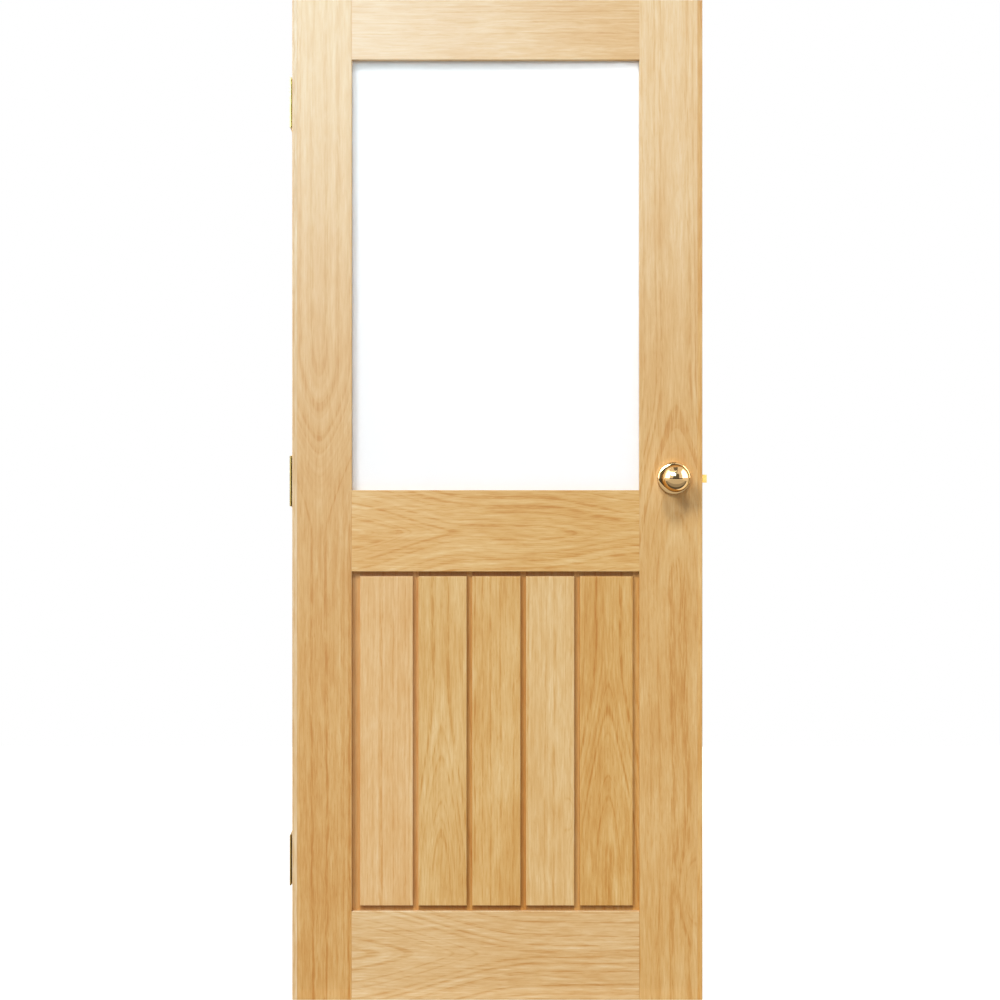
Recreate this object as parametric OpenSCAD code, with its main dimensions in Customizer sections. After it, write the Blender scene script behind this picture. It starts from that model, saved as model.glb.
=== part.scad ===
// Oak door leaf: obscured glass over a panel of five raised boards, hung on three
// brass butt hinges, with a sprung box latch worked by a pair of brass ball knobs.
// X runs towards the lock edge, Y from the front face to the back face and Z up.
// The origin is the middle of the leaf's bottom edge, halfway through its thickness.

/* [Leaf] */
// Width of the leaf over both lippings
leaf_w = 813; // [740:1:930]
// Height of the leaf
leaf_h = 1981; // [1900:1:2150]
// Thickness of the leaf
leaf_t = 35; // [34:0.5:44]
// Width of the hinge stile with its lipping
hinge_stile_w = 118; // [105:1:135]
// Width of the lock stile with its lipping
lock_stile_w = 125; // [118:1:140]
// Width of the solid lipping on each long edge
lipping_w = 10; // [6:0.5:14]
// Chamfer on the outer long edges of the lippings
edge_arris = 1.2; // [0.5:0.1:2]
// Height of the top rail
top_rail_h = 118; // [105:1:140]
// Height of the lock rail
lock_rail_h = 161; // [145:1:185]
// Height of the bottom rail
bottom_rail_h = 176; // [150:1:220]
// Height of the glass that shows between the top rail and the lock rail
glass_sight_h = 853; // [780:1:900]

/* [Dowels] */
// Diameter of the dowels in the rail joints
dowel_d = 12; // [8:1:16]
// Length of a dowel
dowel_l = 90; // [60:1:96]
// Distance from a rail's edge to its outer dowels
dowel_margin = 40; // [32:1:46]
// Radial clearance of a dowel in its hole
dowel_clear = 0.1; // [0.05:0.05:0.2]
// Glue space past each end of a dowel
dowel_end_gap = 2; // [1:0.5:4]
// Chamfer on the ends of a dowel
dowel_chamfer = 1; // [0.5:0.1:2]

/* [Boarded panel] */
// Face width of each of the three middle boards
middle_board_w = 96; // [85:0.5:105]
// Width of the channel between two boards
board_gap = 10.7; // [6:0.1:14]
// Width of the channel beside the hinge stile
hinge_channel_w = 16; // [8:0.5:24]
// Width of the channel beside the lock stile
lock_channel_w = 12.5; // [8:0.5:24]
// Height of the channels above and below the boards
end_channel_h = 10; // [6:0.5:16]
// Depth of the board faces behind the faces of the frame
board_recess = 3; // [1:0.5:4]
// Depth of the channels below the board faces
channel_depth = 8; // [3:0.5:8.5]
// Depth to which the panel is housed in the frame
panel_housing = 10; // [6:0.5:14]
// Space left for the panel to swell in its grooves
panel_swell = 2; // [1:0.5:3]
// Clearance on each face of the panel in its grooves
panel_clear = 0.15; // [0.1:0.05:0.3]
// Length of the tongue on a board's edge
tongue_l = 7; // [4:0.5:9]
// Thickness of the tongue
tongue_t = 6; // [4:0.5:8]
// Clearance round the tongue in its slot
tongue_clear = 0.2; // [0.1:0.05:0.4]
// Chamfer on the edges of the board faces
board_arris = 1; // [0.4:0.1:2]

/* [Glazing] */
// Thickness of the glass
glass_t = 6; // [4:0.5:8]
// Thickness of the wooden lip in front of the glass
lip_t = 14; // [10:0.5:16]
// Width of the rebate that takes the glass and its beads
rebate_w = 12; // [10:0.5:14]
// Thickness of the glazing tape on each side of the glass
tape_t = 1; // [0.5:0.1:1.5]
// Space round the edges of the glass
glass_edge_gap = 3; // [2:0.5:4]
// Length of a setting block under the glass
setting_block_l = 80; // [40:5:120]
// Depth of the beads behind the back face
bead_setback = 1; // [0:0.5:2]
// Chamfer on the edge of a bead
bead_chamfer = 4; // [2:0.5:5]
// Diameter of the pins that hold the beads
bead_pin_d = 1.6; // [1.2:0.1:2]
// Depth of a bead pin in the frame
bead_pin_depth = 15; // [10:1:20]
// Radial clearance of a bead pin in its hole
bead_pin_clear = 0.02; // [0.01:0.01:0.05]

/* [Knobs and roses] */
// Height of the knob's axis above the bottom of the leaf
knob_z = 1033; // [1000:1:1060]
// Distance from the lock edge to the knob's axis
backset = 57; // [54:0.5:60]
// Diameter of the knob
knob_d = 54; // [48:0.5:60]
// Reach of the knob from the face of the leaf
knob_reach = 64; // [60:0.5:70]
// Height of the knob's girth above the face of the leaf
knob_girth_h = 42; // [40:0.5:46]
// Depth of the knob's back from its girth
knob_back_h = 20; // [17:0.5:22]
// Diameter of the knob's neck
neck_d = 22; // [20:0.5:24]
// Depth of the waist round the neck
neck_waist = 1.5; // [0.5:0.1:2]
// Radial clearance of the neck in the rose and its plate
neck_clear = 0.1; // [0.05:0.01:0.1]
// Space between the neck's end and the face of the leaf
neck_end_gap = 0.5; // [0.3:0.1:1]
// Diameter of the rose
rose_d = 65; // [62:0.5:70]
// Height of the rose
rose_h = 9.5; // [8:0.5:11]
// Height of the rose's straight skirt
rose_skirt = 4.2; // [4.1:0.1:5]
// Diameter of the rose's flat crown
rose_crown_d = 32; // [28:0.5:36]
// Thickness of the rose's wall
rose_wall = 1.5; // [1:0.1:2]
// Thickness of the fixing plate under the rose
rose_plate_t = 4; // [3.2:0.1:4.1]
// Distance between the two screws of a rose plate
rose_screw_pitch = 47.2; // [46:0.2:50]
// Width of the square spindle
spindle_w = 8; // [7:0.1:9]
// Clearance on each side of the spindle
spindle_clear = 0.1; // [0.05:0.05:0.2]
// Depth of the spindle's socket above the face of the leaf
socket_h = 30; // [24:0.5:34]
// Space between the spindle's end and the bottom of its socket
socket_gap = 1; // [0.5:0.5:2]
// Diameter of the hole for the spindle through the stile
spindle_hole_d = 20; // [16:0.5:20]
// Diameter of the grub screw in a knob's neck
grub_d = 4; // [3:0.5:5]
// Length of the grub screw
grub_l = 5; // [4:0.5:5.5]
// Height of the grub screw above the face of the leaf
grub_h = 14; // [13:0.5:16]

/* [Latch] */
// Height of the latch case
case_h = 40; // [38:0.5:42]
// Thickness of the latch case
case_t = 15; // [14.5:0.1:16]
// Thickness of the case's walls
case_wall = 1.5; // [1.2:0.1:1.8]
// Chamfer on the back corners of the case
case_chamfer = 1.2; // [0.5:0.1:1.3]
// Clearance of fittings let into the wood
wood_clear = 0.3; // [0.1:0.1:0.5]
// Height of the forend
forend_h = 84; // [80:1:100]
// Width of the forend
forend_w = 22; // [19:0.5:24]
// Thickness of the forend
forend_t = 3; // [2.5:0.1:3.5]
// Distance between the screws of the forend
forend_screw_pitch = 66; // [62:1:70]
// Travel of the bolt
bolt_throw = 11; // [8:0.5:12]
// Height of the bolt's head
bolt_h = 16; // [12:0.5:18]
// Width of the bolt's head
bolt_w = 11.4; // [9:0.1:11.4]
// Flat left on the tip of the bolt
bolt_tip_flat = 1.7; // [1:0.1:3]
// Length of the bolt's head that stays inside the case
bolt_guide = 4; // [2:0.5:5]
// Clearance of the bolt in its openings
bolt_clear = 0.2; // [0.1:0.05:0.3]
// Diameter of the bolt's stem
stem_d = 7.6; // [6:0.2:8]
// Thickness of the bolt's yoke
yoke_t = 5; // [3:0.5:6]
// Thickness of each arm of the yoke
arm_t = 1.6; // [1.2:0.1:2]
// Width of the bar that joins the arms
crossbar_w = 4.2; // [3:0.1:5]
// Width of the hooks on the arms
hook_w = 4.7; // [3:0.1:5]
// Angle through which the knobs turn
knob_turn = 45; // [30:1:48]
// Radius of the tips of the follower's horns
horn_tip_r = 2; // [1.5:0.1:2.5]
// Diameter of the follower's flange
flange_d = 20.4; // [19:0.1:21]
// Diameter of the follower's journals
journal_d = 16.4; // [14:0.1:17]
// Radial clearance of the journals in the case
journal_clear = 0.08; // [0.02:0.01:0.1]
// Clearance between sliding parts in the latch
slide_clear = 0.3; // [0.2:0.05:0.4]
// Space left for the horn inside the yoke with the bolt drawn back
yoke_room = 1.3; // [1:0.1:1.6]
// Width of the posts that the spring bears on
post_w = 2; // [1.5:0.1:2.5]
// Height of each spring post beside the stem
post_h = 4; // [3:0.5:5]
// Diameter of the case's rivets
rivet_d = 3; // [2:0.1:3.5]
// Distance from a rivet to the inside of the case
rivet_margin = 3.5; // [2.5:0.1:4]
// Diameter of the spring's wire
spring_wire = 1; // [0.8:0.1:1.1]
// Mean diameter of the spring
spring_d = 10.4; // [10.2:0.1:10.6]
// Number of turns in the spring
spring_turns = 6; // [4:1:6]

/* [Hinges] */
// Height of a hinge
hinge_h = 100; // [90:1:110]
// Width of a flap on the edge of the leaf
flap_w = 27; // [25:0.5:30]
// Thickness of a flap
flap_t = 2.8; // [2.5:0.1:3]
// Gap between the two flaps with the door closed
joint_gap = 3; // [2:0.1:4]
// Distance of the pin behind the back face of the leaf
pin_stand_off = 6; // [5.6:0.1:7]
// Diameter of the knuckles
knuckle_d = 10; // [9:0.1:10.6]
// Gap between neighbouring knuckles
knuckle_gap = 0.3; // [0.2:0.05:0.5]
// Diameter of the pin
pin_d = 5.5; // [4.5:0.1:6]
// Radial clearance of the pin in the knuckles
pin_clear = 0.05; // [0.02:0.01:0.1]
// Diameter of the button tips of the pin
tip_d = 9; // [7:0.1:10]
// Height of the button tips
tip_h = 4; // [2.5:0.1:5]
// Height of the straight rim of a button tip
tip_rim = 1.2; // [0.5:0.1:2]
// Distance from the top of the leaf to the top hinge
top_hinge_drop = 150; // [120:1:200]
// Distance from the bottom of the leaf to the bottom hinge
bottom_hinge_rise = 225; // [180:1:260]
// Distance between the outer screws of a flap
outer_screw_pitch = 74; // [68:1:78]
// Distance between the inner screws of a flap
inner_screw_pitch = 28; // [20:1:36]
// Distance from a flap's free edge to its outer column of screws
outer_screw_margin = 8; // [7:0.5:9]
// Distance between the two columns of screws
screw_column_pitch = 9; // [7:0.5:10]

/* [Screws] */
// Diameter of the screws' shanks
screw_d = 4; // [3.5:0.1:4.4]
// Diameter of the screws' heads
screw_head_d = 8; // [7.5:0.1:8.2]
// Length of a hinge screw
hinge_screw_l = 30; // [20:1:40]
// Length of a forend screw
forend_screw_l = 25; // [16:1:30]
// Length of a rose screw
rose_screw_l = 16; // [10:0.5:18]
// Length of a screw's point
screw_point_l = 3; // [2:0.5:4]
// Width of the slot in a screw's head
screw_slot_w = 1; // [0.6:0.1:1.4]
// Depth of the slot in a screw's head
screw_slot_depth = 1; // [0.6:0.1:1.4]
// Radial clearance of a screw in metal
screw_clear = 0.2; // [0.1:0.05:0.3]
// Radial clearance of a screw in wood
pilot_clear = 0.05; // [0.02:0.01:0.1]

/* [Hidden] */

$fn = 64;

// Overrun of every cut past the faces that it opens
over = 1;

// Colours
oak = [0.85, 0.68, 0.45];
beech = [0.80, 0.62, 0.44];
brass = [0.80, 0.62, 0.30];
steel = [0.60, 0.61, 0.63];
white_glass = [0.96, 0.97, 0.97];
tape_grey = [0.85, 0.85, 0.84];

// The leaf, its opening and its two fields
half_w = leaf_w / 2;
half_t = leaf_t / 2;
opening_x0 = -half_w + hinge_stile_w;
opening_x1 = half_w - lock_stile_w;
opening_w = opening_x1 - opening_x0;
panel_z0 = bottom_rail_h;
glass_z1 = leaf_h - top_rail_h;
glass_z0 = glass_z1 - glass_sight_h;
panel_z1 = glass_z0 - lock_rail_h;

// Dowels to each end of a rail
top_rail_dowel_count = 2;
lock_rail_dowel_count = 3;
bottom_rail_dowel_count = 3;
dowel_hole_r = dowel_d / 2 + dowel_clear;
dowel_hole_l = dowel_l + 2 * dowel_end_gap;

// Boards: full thickness at their faces and a thinner web in the channels and grooves
field_t = leaf_t - 2 * board_recess;
web_t = field_t - 2 * channel_depth;
groove_t = web_t + 2 * panel_clear;
groove_depth = panel_housing + panel_swell;
middle_board_count = 3;
board_count = middle_board_count + 2;
channels_w = hinge_channel_w + lock_channel_w + (board_count - 1) * board_gap;
edge_board_w = (opening_w - channels_w - middle_board_count * middle_board_w) / 2;
board_pitch = middle_board_w + board_gap;
slot_t = tongue_t + 2 * tongue_clear;
slot_l = tongue_l + 2 * tongue_clear;

// Glazing, from the front lip to the beads
rebate_y = -half_t + lip_t;
glass_y0 = rebate_y + tape_t;
glass_y1 = glass_y0 + glass_t;
bead_y0 = glass_y1 + tape_t;
bead_y1 = half_t - bead_setback;
bead_t = bead_y1 - bead_y0;
glass_cover = rebate_w - glass_edge_gap;
bead_pin_r = bead_pin_d / 2;
bead_turns = [0, -90, 180, 90];
bead_lengths = [opening_w, glass_sight_h, opening_w, glass_sight_h];
bead_pin_counts = [3, 4, 3, 4];
bead_corners = [
    [opening_x0, glass_z1], [opening_x1, glass_z1], [opening_x1, glass_z0], [opening_x0, glass_z0]
];
setting_block_place_shares = [0.25, 0.75];

// Knobs and roses, measured outwards from the face of the leaf
knob_x = half_w - backset;
neck_r = neck_d / 2;
knob_r = knob_d / 2;
neck_top_angle = acos(neck_r / knob_r);
neck_top_h = knob_girth_h - knob_back_h * sin(neck_top_angle);
neck_hole_r = neck_r + neck_clear;
rose_r = rose_d / 2;
rose_crown_r = rose_crown_d / 2;
rose_plate_r = rose_r - rose_wall - neck_clear;
socket_w = spindle_w + 2 * spindle_clear;
spindle_l = leaf_t + 2 * (socket_h - socket_gap);
arc_steps = 18;

// Latch, measured from the follower's axis
forend_x0 = backset - forend_t;
hook_x1 = -(horn_tip_r + slide_clear);
hook_x0 = hook_x1 - hook_w;
case_rear = -hook_x0 + bolt_throw + slide_clear + case_wall;
arm_z1 = case_h / 2 - case_wall - slide_clear;
arm_z0 = arm_z1 - arm_t;
horn_tip_z = arm_z0 - slide_clear - horn_tip_r;
hook_z0 = flange_d / 2 + 2 * slide_clear;
crossbar_x0 = horn_tip_z * sin(knob_turn) + horn_tip_r + bolt_throw + yoke_room;
crossbar_x1 = crossbar_x0 + crossbar_w;
post_x0 = crossbar_x1 + slide_clear;
post_x1 = post_x0 + post_w;
bolt_x0 = forend_x0 - case_wall - bolt_guide;
bolt_x1 = backset + bolt_throw;
inner_t = case_t - 2 * case_wall;
flange_t = inner_t - 2 * slide_clear;
post_z0 = stem_d / 2 + slide_clear;
rivet_z = case_h / 2 - case_wall - rivet_margin;
rivet_places = [
    [(post_x1 + bolt_x0) / 2, rivet_z],
    [(post_x1 + bolt_x0) / 2, -rivet_z],
    [-(case_rear - case_wall - rivet_margin), 0]
];
spring_x0 = post_x1 + spring_wire / 2;
spring_x1 = bolt_x0 - spring_wire / 2;
spring_steps = 18;
spring_sides = 8;

// Hinges, measured from the pin's axis
pin_x = -half_w - joint_gap / 2;
pin_y = half_t + pin_stand_off;
knuckle_r = knuckle_d / 2;
knuckle_count = 5;
knuckle_l = hinge_h / knuckle_count;
flap_reach = pin_stand_off + flap_w;
bottom_hinge_z = bottom_hinge_rise;
top_hinge_z = leaf_h - top_hinge_drop - hinge_h;
middle_hinge_z = (bottom_hinge_z + top_hinge_z) / 2;
hinge_places = [bottom_hinge_z, middle_hinge_z, top_hinge_z];
outer_screw_y = -(flap_reach - outer_screw_margin);
inner_screw_y = outer_screw_y + screw_column_pitch;
door_screw_places = flap_screw_places(outer_screw_y, inner_screw_y);
frame_screw_places = flap_screw_places(inner_screw_y, outer_screw_y);
screw_head_h = (screw_head_d - screw_d) / 2;

// Points of a quarter of an ellipse or less, between two angles
function arc(r, h, centre_r, centre_h, from, to) = [
    for (i = [0 : arc_steps])
        let (a = from + (to - from) * i / arc_steps)
            [centre_r + r * cos(a), centre_h + h * sin(a)]
];

// A closed outline from its half below the middle line
function mirrored(half) = concat(
    half,
    [for (i = [len(half) - 1 : -1 : 0]) [half[i].x, -half[i].y]]
);

// Heights of the dowels in a rail
function dowel_heights(z0, h, count) = [
    for (i = [0 : count - 1])
        z0 + dowel_margin + i * (h - 2 * dowel_margin) / (count - 1)
];

// Places of a flap's screws, staggered so that the heads on two closed flaps miss each other
function flap_screw_places(wide_y, narrow_y) = [
    [wide_y, hinge_h / 2 - outer_screw_pitch / 2],
    [narrow_y, hinge_h / 2 - inner_screw_pitch / 2],
    [narrow_y, hinge_h / 2 + inner_screw_pitch / 2],
    [wide_y, hinge_h / 2 + outer_screw_pitch / 2]
];

// Left side of a board's face
function board_x(i) = i == 0
    ? opening_x0 + hinge_channel_w
    : opening_x0 + hinge_channel_w + edge_board_w + board_gap + (i - 1) * board_pitch;

// Width of a board's face
function board_w(i) = i == 0 || i == board_count - 1 ? edge_board_w : middle_board_w;

// Half section of a board's hinge side: a web into the stile, or a slot for its neighbour
function board_near_edge(i) = concat(
    i == 0
        ? [[-hinge_channel_w - panel_housing, -web_t / 2], [0, -web_t / 2]]
        : [[slot_l, -slot_t / 2], [0, -slot_t / 2]],
    [[0, -field_t / 2 + board_arris], [board_arris, -field_t / 2]]
);

// Half section of a board's lock side: a web and tongue, or a web into the stile
function board_far_edge(i, w) = concat(
    [[w - board_arris, -field_t / 2], [w, -field_t / 2 + board_arris], [w, -web_t / 2]],
    i == board_count - 1
        ? [[w + lock_channel_w + panel_housing, -web_t / 2]]
        : [
            [w + board_gap, -web_t / 2],
            [w + board_gap, -tongue_t / 2],
            [w + board_gap + tongue_l, -tongue_t / 2]
        ]
);

// Point on the spring's wire
function spring_point(step, side) =
    let (
        turn = 360 * step / spring_steps,
        x = spring_x0 + (spring_x1 - spring_x0) * step / (spring_steps * spring_turns),
        a = 360 * side / spring_sides,
        r = spring_d / 2 + spring_wire / 2 * cos(a)
    )
    [x + spring_wire / 2 * sin(a), r * cos(turn), r * sin(turn)];

// Slotted wood screw with its head's face at zero, pointing down
module wood_screw(length) {
    difference() {
        rotate_extrude()
            polygon([
                [0, 0],
                [screw_head_d / 2, 0],
                [screw_d / 2, -screw_head_h],
                [screw_d / 2, -length + screw_point_l],
                [0, -length]
            ]);
        translate([-screw_slot_w / 2, -screw_head_d, -screw_slot_depth])
            cube([screw_slot_w, 2 * screw_head_d, screw_slot_depth + over]);
    }
}

// Countersunk hole for a screw through metal
module countersunk_hole(depth) {
    translate([0, 0, -depth - over])
        cylinder(h = depth + 2 * over, r = screw_d / 2 + screw_clear);
    translate([0, 0, -screw_head_h])
        cylinder(
            h = screw_head_h,
            r1 = screw_d / 2 + screw_clear,
            r2 = screw_head_d / 2 + screw_clear
        );
}

// Pilot hole for a screw in wood
module pilot_hole(length) {
    translate([0, 0, -length])
        cylinder(h = length, r = screw_d / 2 + pilot_clear);
}

// Dowels of one rail, at both of its ends
module place_dowels(z0, h, count) {
    for (x = [opening_x0, opening_x1])
        for (z = dowel_heights(z0, h, count))
            translate([x, 0, z])
                rotate([0, 90, 0])
                    children();
}

module dowel() {
    r = dowel_d / 2;
    rotate_extrude()
        polygon([
            [0, -dowel_l / 2],
            [r - dowel_chamfer, -dowel_l / 2],
            [r, -dowel_l / 2 + dowel_chamfer],
            [r, dowel_l / 2 - dowel_chamfer],
            [r - dowel_chamfer, dowel_l / 2],
            [0, dowel_l / 2]
        ]);
}

module dowel_hole() {
    cylinder(h = dowel_hole_l, r = dowel_hole_r, center = true);
}

module all_dowel_holes() {
    place_dowels(glass_z1, top_rail_h, top_rail_dowel_count) dowel_hole();
    place_dowels(panel_z1, lock_rail_h, lock_rail_dowel_count) dowel_hole();
    place_dowels(0, bottom_rail_h, bottom_rail_dowel_count) dowel_hole();
}

// Section of a rail, extruded from stile to stile
module rail_blank(section) {
    translate([opening_x0, 0, 0])
        rotate([90, 0, 90])
            linear_extrude(height = opening_w)
                polygon(section);
}

// Opening of the leaf behind the front lip, which takes the glass and its beads
module glazing_rebate() {
    translate([opening_x0 - rebate_w, rebate_y, glass_z0 - rebate_w])
        cube([opening_w + 2 * rebate_w, half_t - rebate_y + over, glass_sight_h + 2 * rebate_w]);
}

// Groove round the boarded panel
module panel_groove() {
    translate([opening_x0 - groove_depth, -groove_t / 2, panel_z0 - panel_housing])
        cube([
            opening_w + 2 * groove_depth,
            groove_t,
            panel_z1 - panel_z0 + panel_housing + groove_depth
        ]);
}

// Places the pieces of one side of the glazing: sight edge along X, outwards along Y,
// with the bead's back face at zero
module place_bead(i) {
    translate([bead_corners[i].x, bead_y1, bead_corners[i].y])
        rotate([90, 0, 0])
            rotate([0, 0, bead_turns[i]])
                children();
}

module side_pins(i, r) {
    for (n = [0 : bead_pin_counts[i] - 1])
        translate([(n + 1 / 2) * bead_lengths[i] / bead_pin_counts[i], 0, bead_t / 2])
            rotate([-90, 0, 0])
                cylinder(h = rebate_w + bead_pin_depth, r = r);
}

module bead_pin_holes() {
    for (i = [0 : len(bead_turns) - 1])
        place_bead(i) side_pins(i, bead_pin_r + bead_pin_clear);
}

module bead(i) {
    length = bead_lengths[i];
    difference() {
        linear_extrude(height = bead_t)
            polygon([
                [0, 0],
                [length, 0],
                [length + rebate_w, rebate_w],
                [-rebate_w, rebate_w]
            ]);
        translate([-rebate_w, 0, 0])
            rotate([90, 0, 90])
                linear_extrude(height = length + 2 * rebate_w)
                    polygon([
                        [-over, -over],
                        [bead_chamfer, -over],
                        [bead_chamfer, 0],
                        [0, bead_chamfer],
                        [-over, bead_chamfer]
                    ]);
        side_pins(i, bead_pin_r + bead_pin_clear);
    }
}

module glazing_tape(y0) {
    translate([opening_x0, y0, glass_z0])
        difference() {
            translate([-glass_cover, 0, -glass_cover])
                cube([opening_w + 2 * glass_cover, tape_t, glass_sight_h + 2 * glass_cover]);
            translate([0, -over, 0])
                cube([opening_w, tape_t + 2 * over, glass_sight_h]);
        }
}

// Mortice for the latch case with the recess for its forend
module latch_mortice() {
    half_h = case_h / 2 + wood_clear;
    mortice_t = case_t + 2 * wood_clear;
    translate([knob_x, 0, knob_z]) {
        translate([-case_rear - wood_clear, -mortice_t / 2, -half_h])
            cube([case_rear + wood_clear + backset, mortice_t, 2 * half_h]);
        translate([forend_x0, -forend_w / 2 - wood_clear, -forend_h / 2 - wood_clear])
            cube([forend_t + over, forend_w + 2 * wood_clear, forend_h + 2 * wood_clear]);
    }
}

module place_forend_screws() {
    for (side = [-1, 1])
        translate([half_w, 0, knob_z + side * forend_screw_pitch / 2])
            rotate([0, 90, 0])
                children();
}

// Places children on the front face of the leaf at the knob, pointing outwards
module on_front() {
    translate([knob_x, -half_t, knob_z])
        rotate([90, 0, 0])
            children();
}

// Places children on the back face, as a mirror image of the front
module on_back() {
    mirror([0, 1, 0])
        on_front() children();
}

module place_rose_screws() {
    for (side = [-1, 1])
        translate([0, side * rose_screw_pitch / 2, rose_plate_t])
            children();
}

module knob_fixing_holes() {
    on_front() {
        translate([0, 0, -leaf_t - over])
            cylinder(h = leaf_t + 2 * over, d = spindle_hole_d);
        place_rose_screws() pilot_hole(rose_screw_l);
    }
    on_back() place_rose_screws() pilot_hole(rose_screw_l);
}

// Places children at a hinge: the pin's axis at the hinge's lower end
module at_hinge(z) {
    translate([pin_x, pin_y, z])
        children();
}

module place_flap_screws(places) {
    for (place = places)
        translate([joint_gap / 2, place.x, place.y])
            rotate([0, -90, 0])
                children();
}

module hinge_recesses() {
    for (z = hinge_places)
        at_hinge(z) {
            translate([0, -flap_reach - wood_clear, -wood_clear])
                cube([joint_gap / 2 + flap_t, flap_reach + 2 * wood_clear, hinge_h + 2 * wood_clear]);
            place_flap_screws(door_screw_places) pilot_hole(hinge_screw_l);
        }
}

module lipping_blank(x) {
    translate([x, 0, 0])
        linear_extrude(height = leaf_h)
            polygon(mirrored([
                [0, -half_t],
                [lipping_w - edge_arris, -half_t],
                [lipping_w, -half_t + edge_arris]
            ]));
}

module hinge_stile() {
    color(oak)
        difference() {
            translate([-half_w + lipping_w, -half_t, 0])
                cube([hinge_stile_w - lipping_w, leaf_t, leaf_h]);
            glazing_rebate();
            panel_groove();
            all_dowel_holes();
            bead_pin_holes();
            hinge_recesses();
        }
}

module lock_stile() {
    color(oak)
        difference() {
            translate([opening_x1, -half_t, 0])
                cube([lock_stile_w - lipping_w, leaf_t, leaf_h]);
            glazing_rebate();
            panel_groove();
            all_dowel_holes();
            bead_pin_holes();
            latch_mortice();
            place_forend_screws() pilot_hole(forend_screw_l);
            knob_fixing_holes();
        }
}

module hinge_lipping() {
    color(oak)
        difference() {
            mirror([1, 0, 0]) lipping_blank(half_w - lipping_w);
            hinge_recesses();
        }
}

module lock_lipping() {
    color(oak)
        difference() {
            lipping_blank(half_w - lipping_w);
            latch_mortice();
            place_forend_screws() pilot_hole(forend_screw_l);
        }
}

module top_rail() {
    color(oak)
        difference() {
            rail_blank([
                [-half_t, glass_z1],
                [rebate_y, glass_z1],
                [rebate_y, glass_z1 + rebate_w],
                [half_t, glass_z1 + rebate_w],
                [half_t, leaf_h],
                [-half_t, leaf_h]
            ]);
            place_dowels(glass_z1, top_rail_h, top_rail_dowel_count) dowel_hole();
            bead_pin_holes();
        }
}

module lock_rail() {
    color(oak)
        difference() {
            rail_blank([
                [-half_t, panel_z1],
                [-groove_t / 2, panel_z1],
                [-groove_t / 2, panel_z1 + groove_depth],
                [groove_t / 2, panel_z1 + groove_depth],
                [groove_t / 2, panel_z1],
                [half_t, panel_z1],
                [half_t, glass_z0 - rebate_w],
                [rebate_y, glass_z0 - rebate_w],
                [rebate_y, glass_z0],
                [-half_t, glass_z0]
            ]);
            place_dowels(panel_z1, lock_rail_h, lock_rail_dowel_count) dowel_hole();
            bead_pin_holes();
        }
}

module bottom_rail() {
    color(oak)
        difference() {
            rail_blank([
                [-half_t, 0],
                [half_t, 0],
                [half_t, panel_z0],
                [groove_t / 2, panel_z0],
                [groove_t / 2, panel_z0 - panel_housing],
                [-groove_t / 2, panel_z0 - panel_housing],
                [-groove_t / 2, panel_z0],
                [-half_t, panel_z0]
            ]);
            place_dowels(0, bottom_rail_h, bottom_rail_dowel_count) dowel_hole();
        }
}

module top_rail_dowels() {
    color(beech) place_dowels(glass_z1, top_rail_h, top_rail_dowel_count) dowel();
}

module lock_rail_dowels() {
    color(beech) place_dowels(panel_z1, lock_rail_h, lock_rail_dowel_count) dowel();
}

module bottom_rail_dowels() {
    color(beech) place_dowels(0, bottom_rail_h, bottom_rail_dowel_count) dowel();
}

// Cuts the face of a board back to its web above the channel at its top
module board_end_cut() {
    face = field_t / 2;
    field_z1 = panel_z1 - end_channel_h;
    cut_z1 = panel_z1 + panel_housing + over;
    translate([opening_x0 - groove_depth, 0, 0])
        rotate([90, 0, 90])
            linear_extrude(height = opening_w + 2 * groove_depth)
                polygon([
                    [web_t / 2, field_z1],
                    [face - board_arris, field_z1],
                    [face, field_z1 - board_arris],
                    [face + over, field_z1 - board_arris],
                    [face + over, cut_z1],
                    [web_t / 2, cut_z1]
                ]);
}

module panel_board(i) {
    w = board_w(i);
    board_h = panel_z1 - panel_z0 + 2 * panel_housing;
    middle_z = (panel_z0 + panel_z1) / 2;
    color(oak)
        difference() {
            translate([board_x(i), 0, panel_z0 - panel_housing])
                linear_extrude(height = board_h)
                    polygon(mirrored(concat(board_near_edge(i), board_far_edge(i, w))));
            for (face = [0, 1])
                mirror([0, face, 0])
                    for (end = [0, 1])
                        translate([0, 0, middle_z])
                            mirror([0, 0, end])
                                translate([0, 0, -middle_z])
                                    board_end_cut();
        }
}

module glass_pane() {
    color(white_glass)
        translate([opening_x0 - glass_cover, glass_y0, glass_z0 - glass_cover])
            cube([opening_w + 2 * glass_cover, glass_t, glass_sight_h + 2 * glass_cover]);
}

module front_glazing_tape() {
    color(tape_grey) glazing_tape(rebate_y);
}

module back_glazing_tape() {
    color(tape_grey) glazing_tape(glass_y1);
}

module setting_blocks() {
    color(tape_grey)
        for (share = setting_block_place_shares)
            translate([
                opening_x0 + share * opening_w - setting_block_l / 2,
                glass_y0,
                glass_z0 - rebate_w
            ])
                cube([setting_block_l, glass_t, glass_edge_gap]);
}

module top_bead() {
    color(oak) place_bead(0) bead(0);
}

module lock_side_bead() {
    color(oak) place_bead(1) bead(1);
}

module bottom_bead() {
    color(oak) place_bead(2) bead(2);
}

module hinge_side_bead() {
    color(oak) place_bead(3) bead(3);
}

module bead_pins() {
    color(steel)
        for (i = [0 : len(bead_turns) - 1])
            place_bead(i) side_pins(i, bead_pin_r);
}

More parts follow.
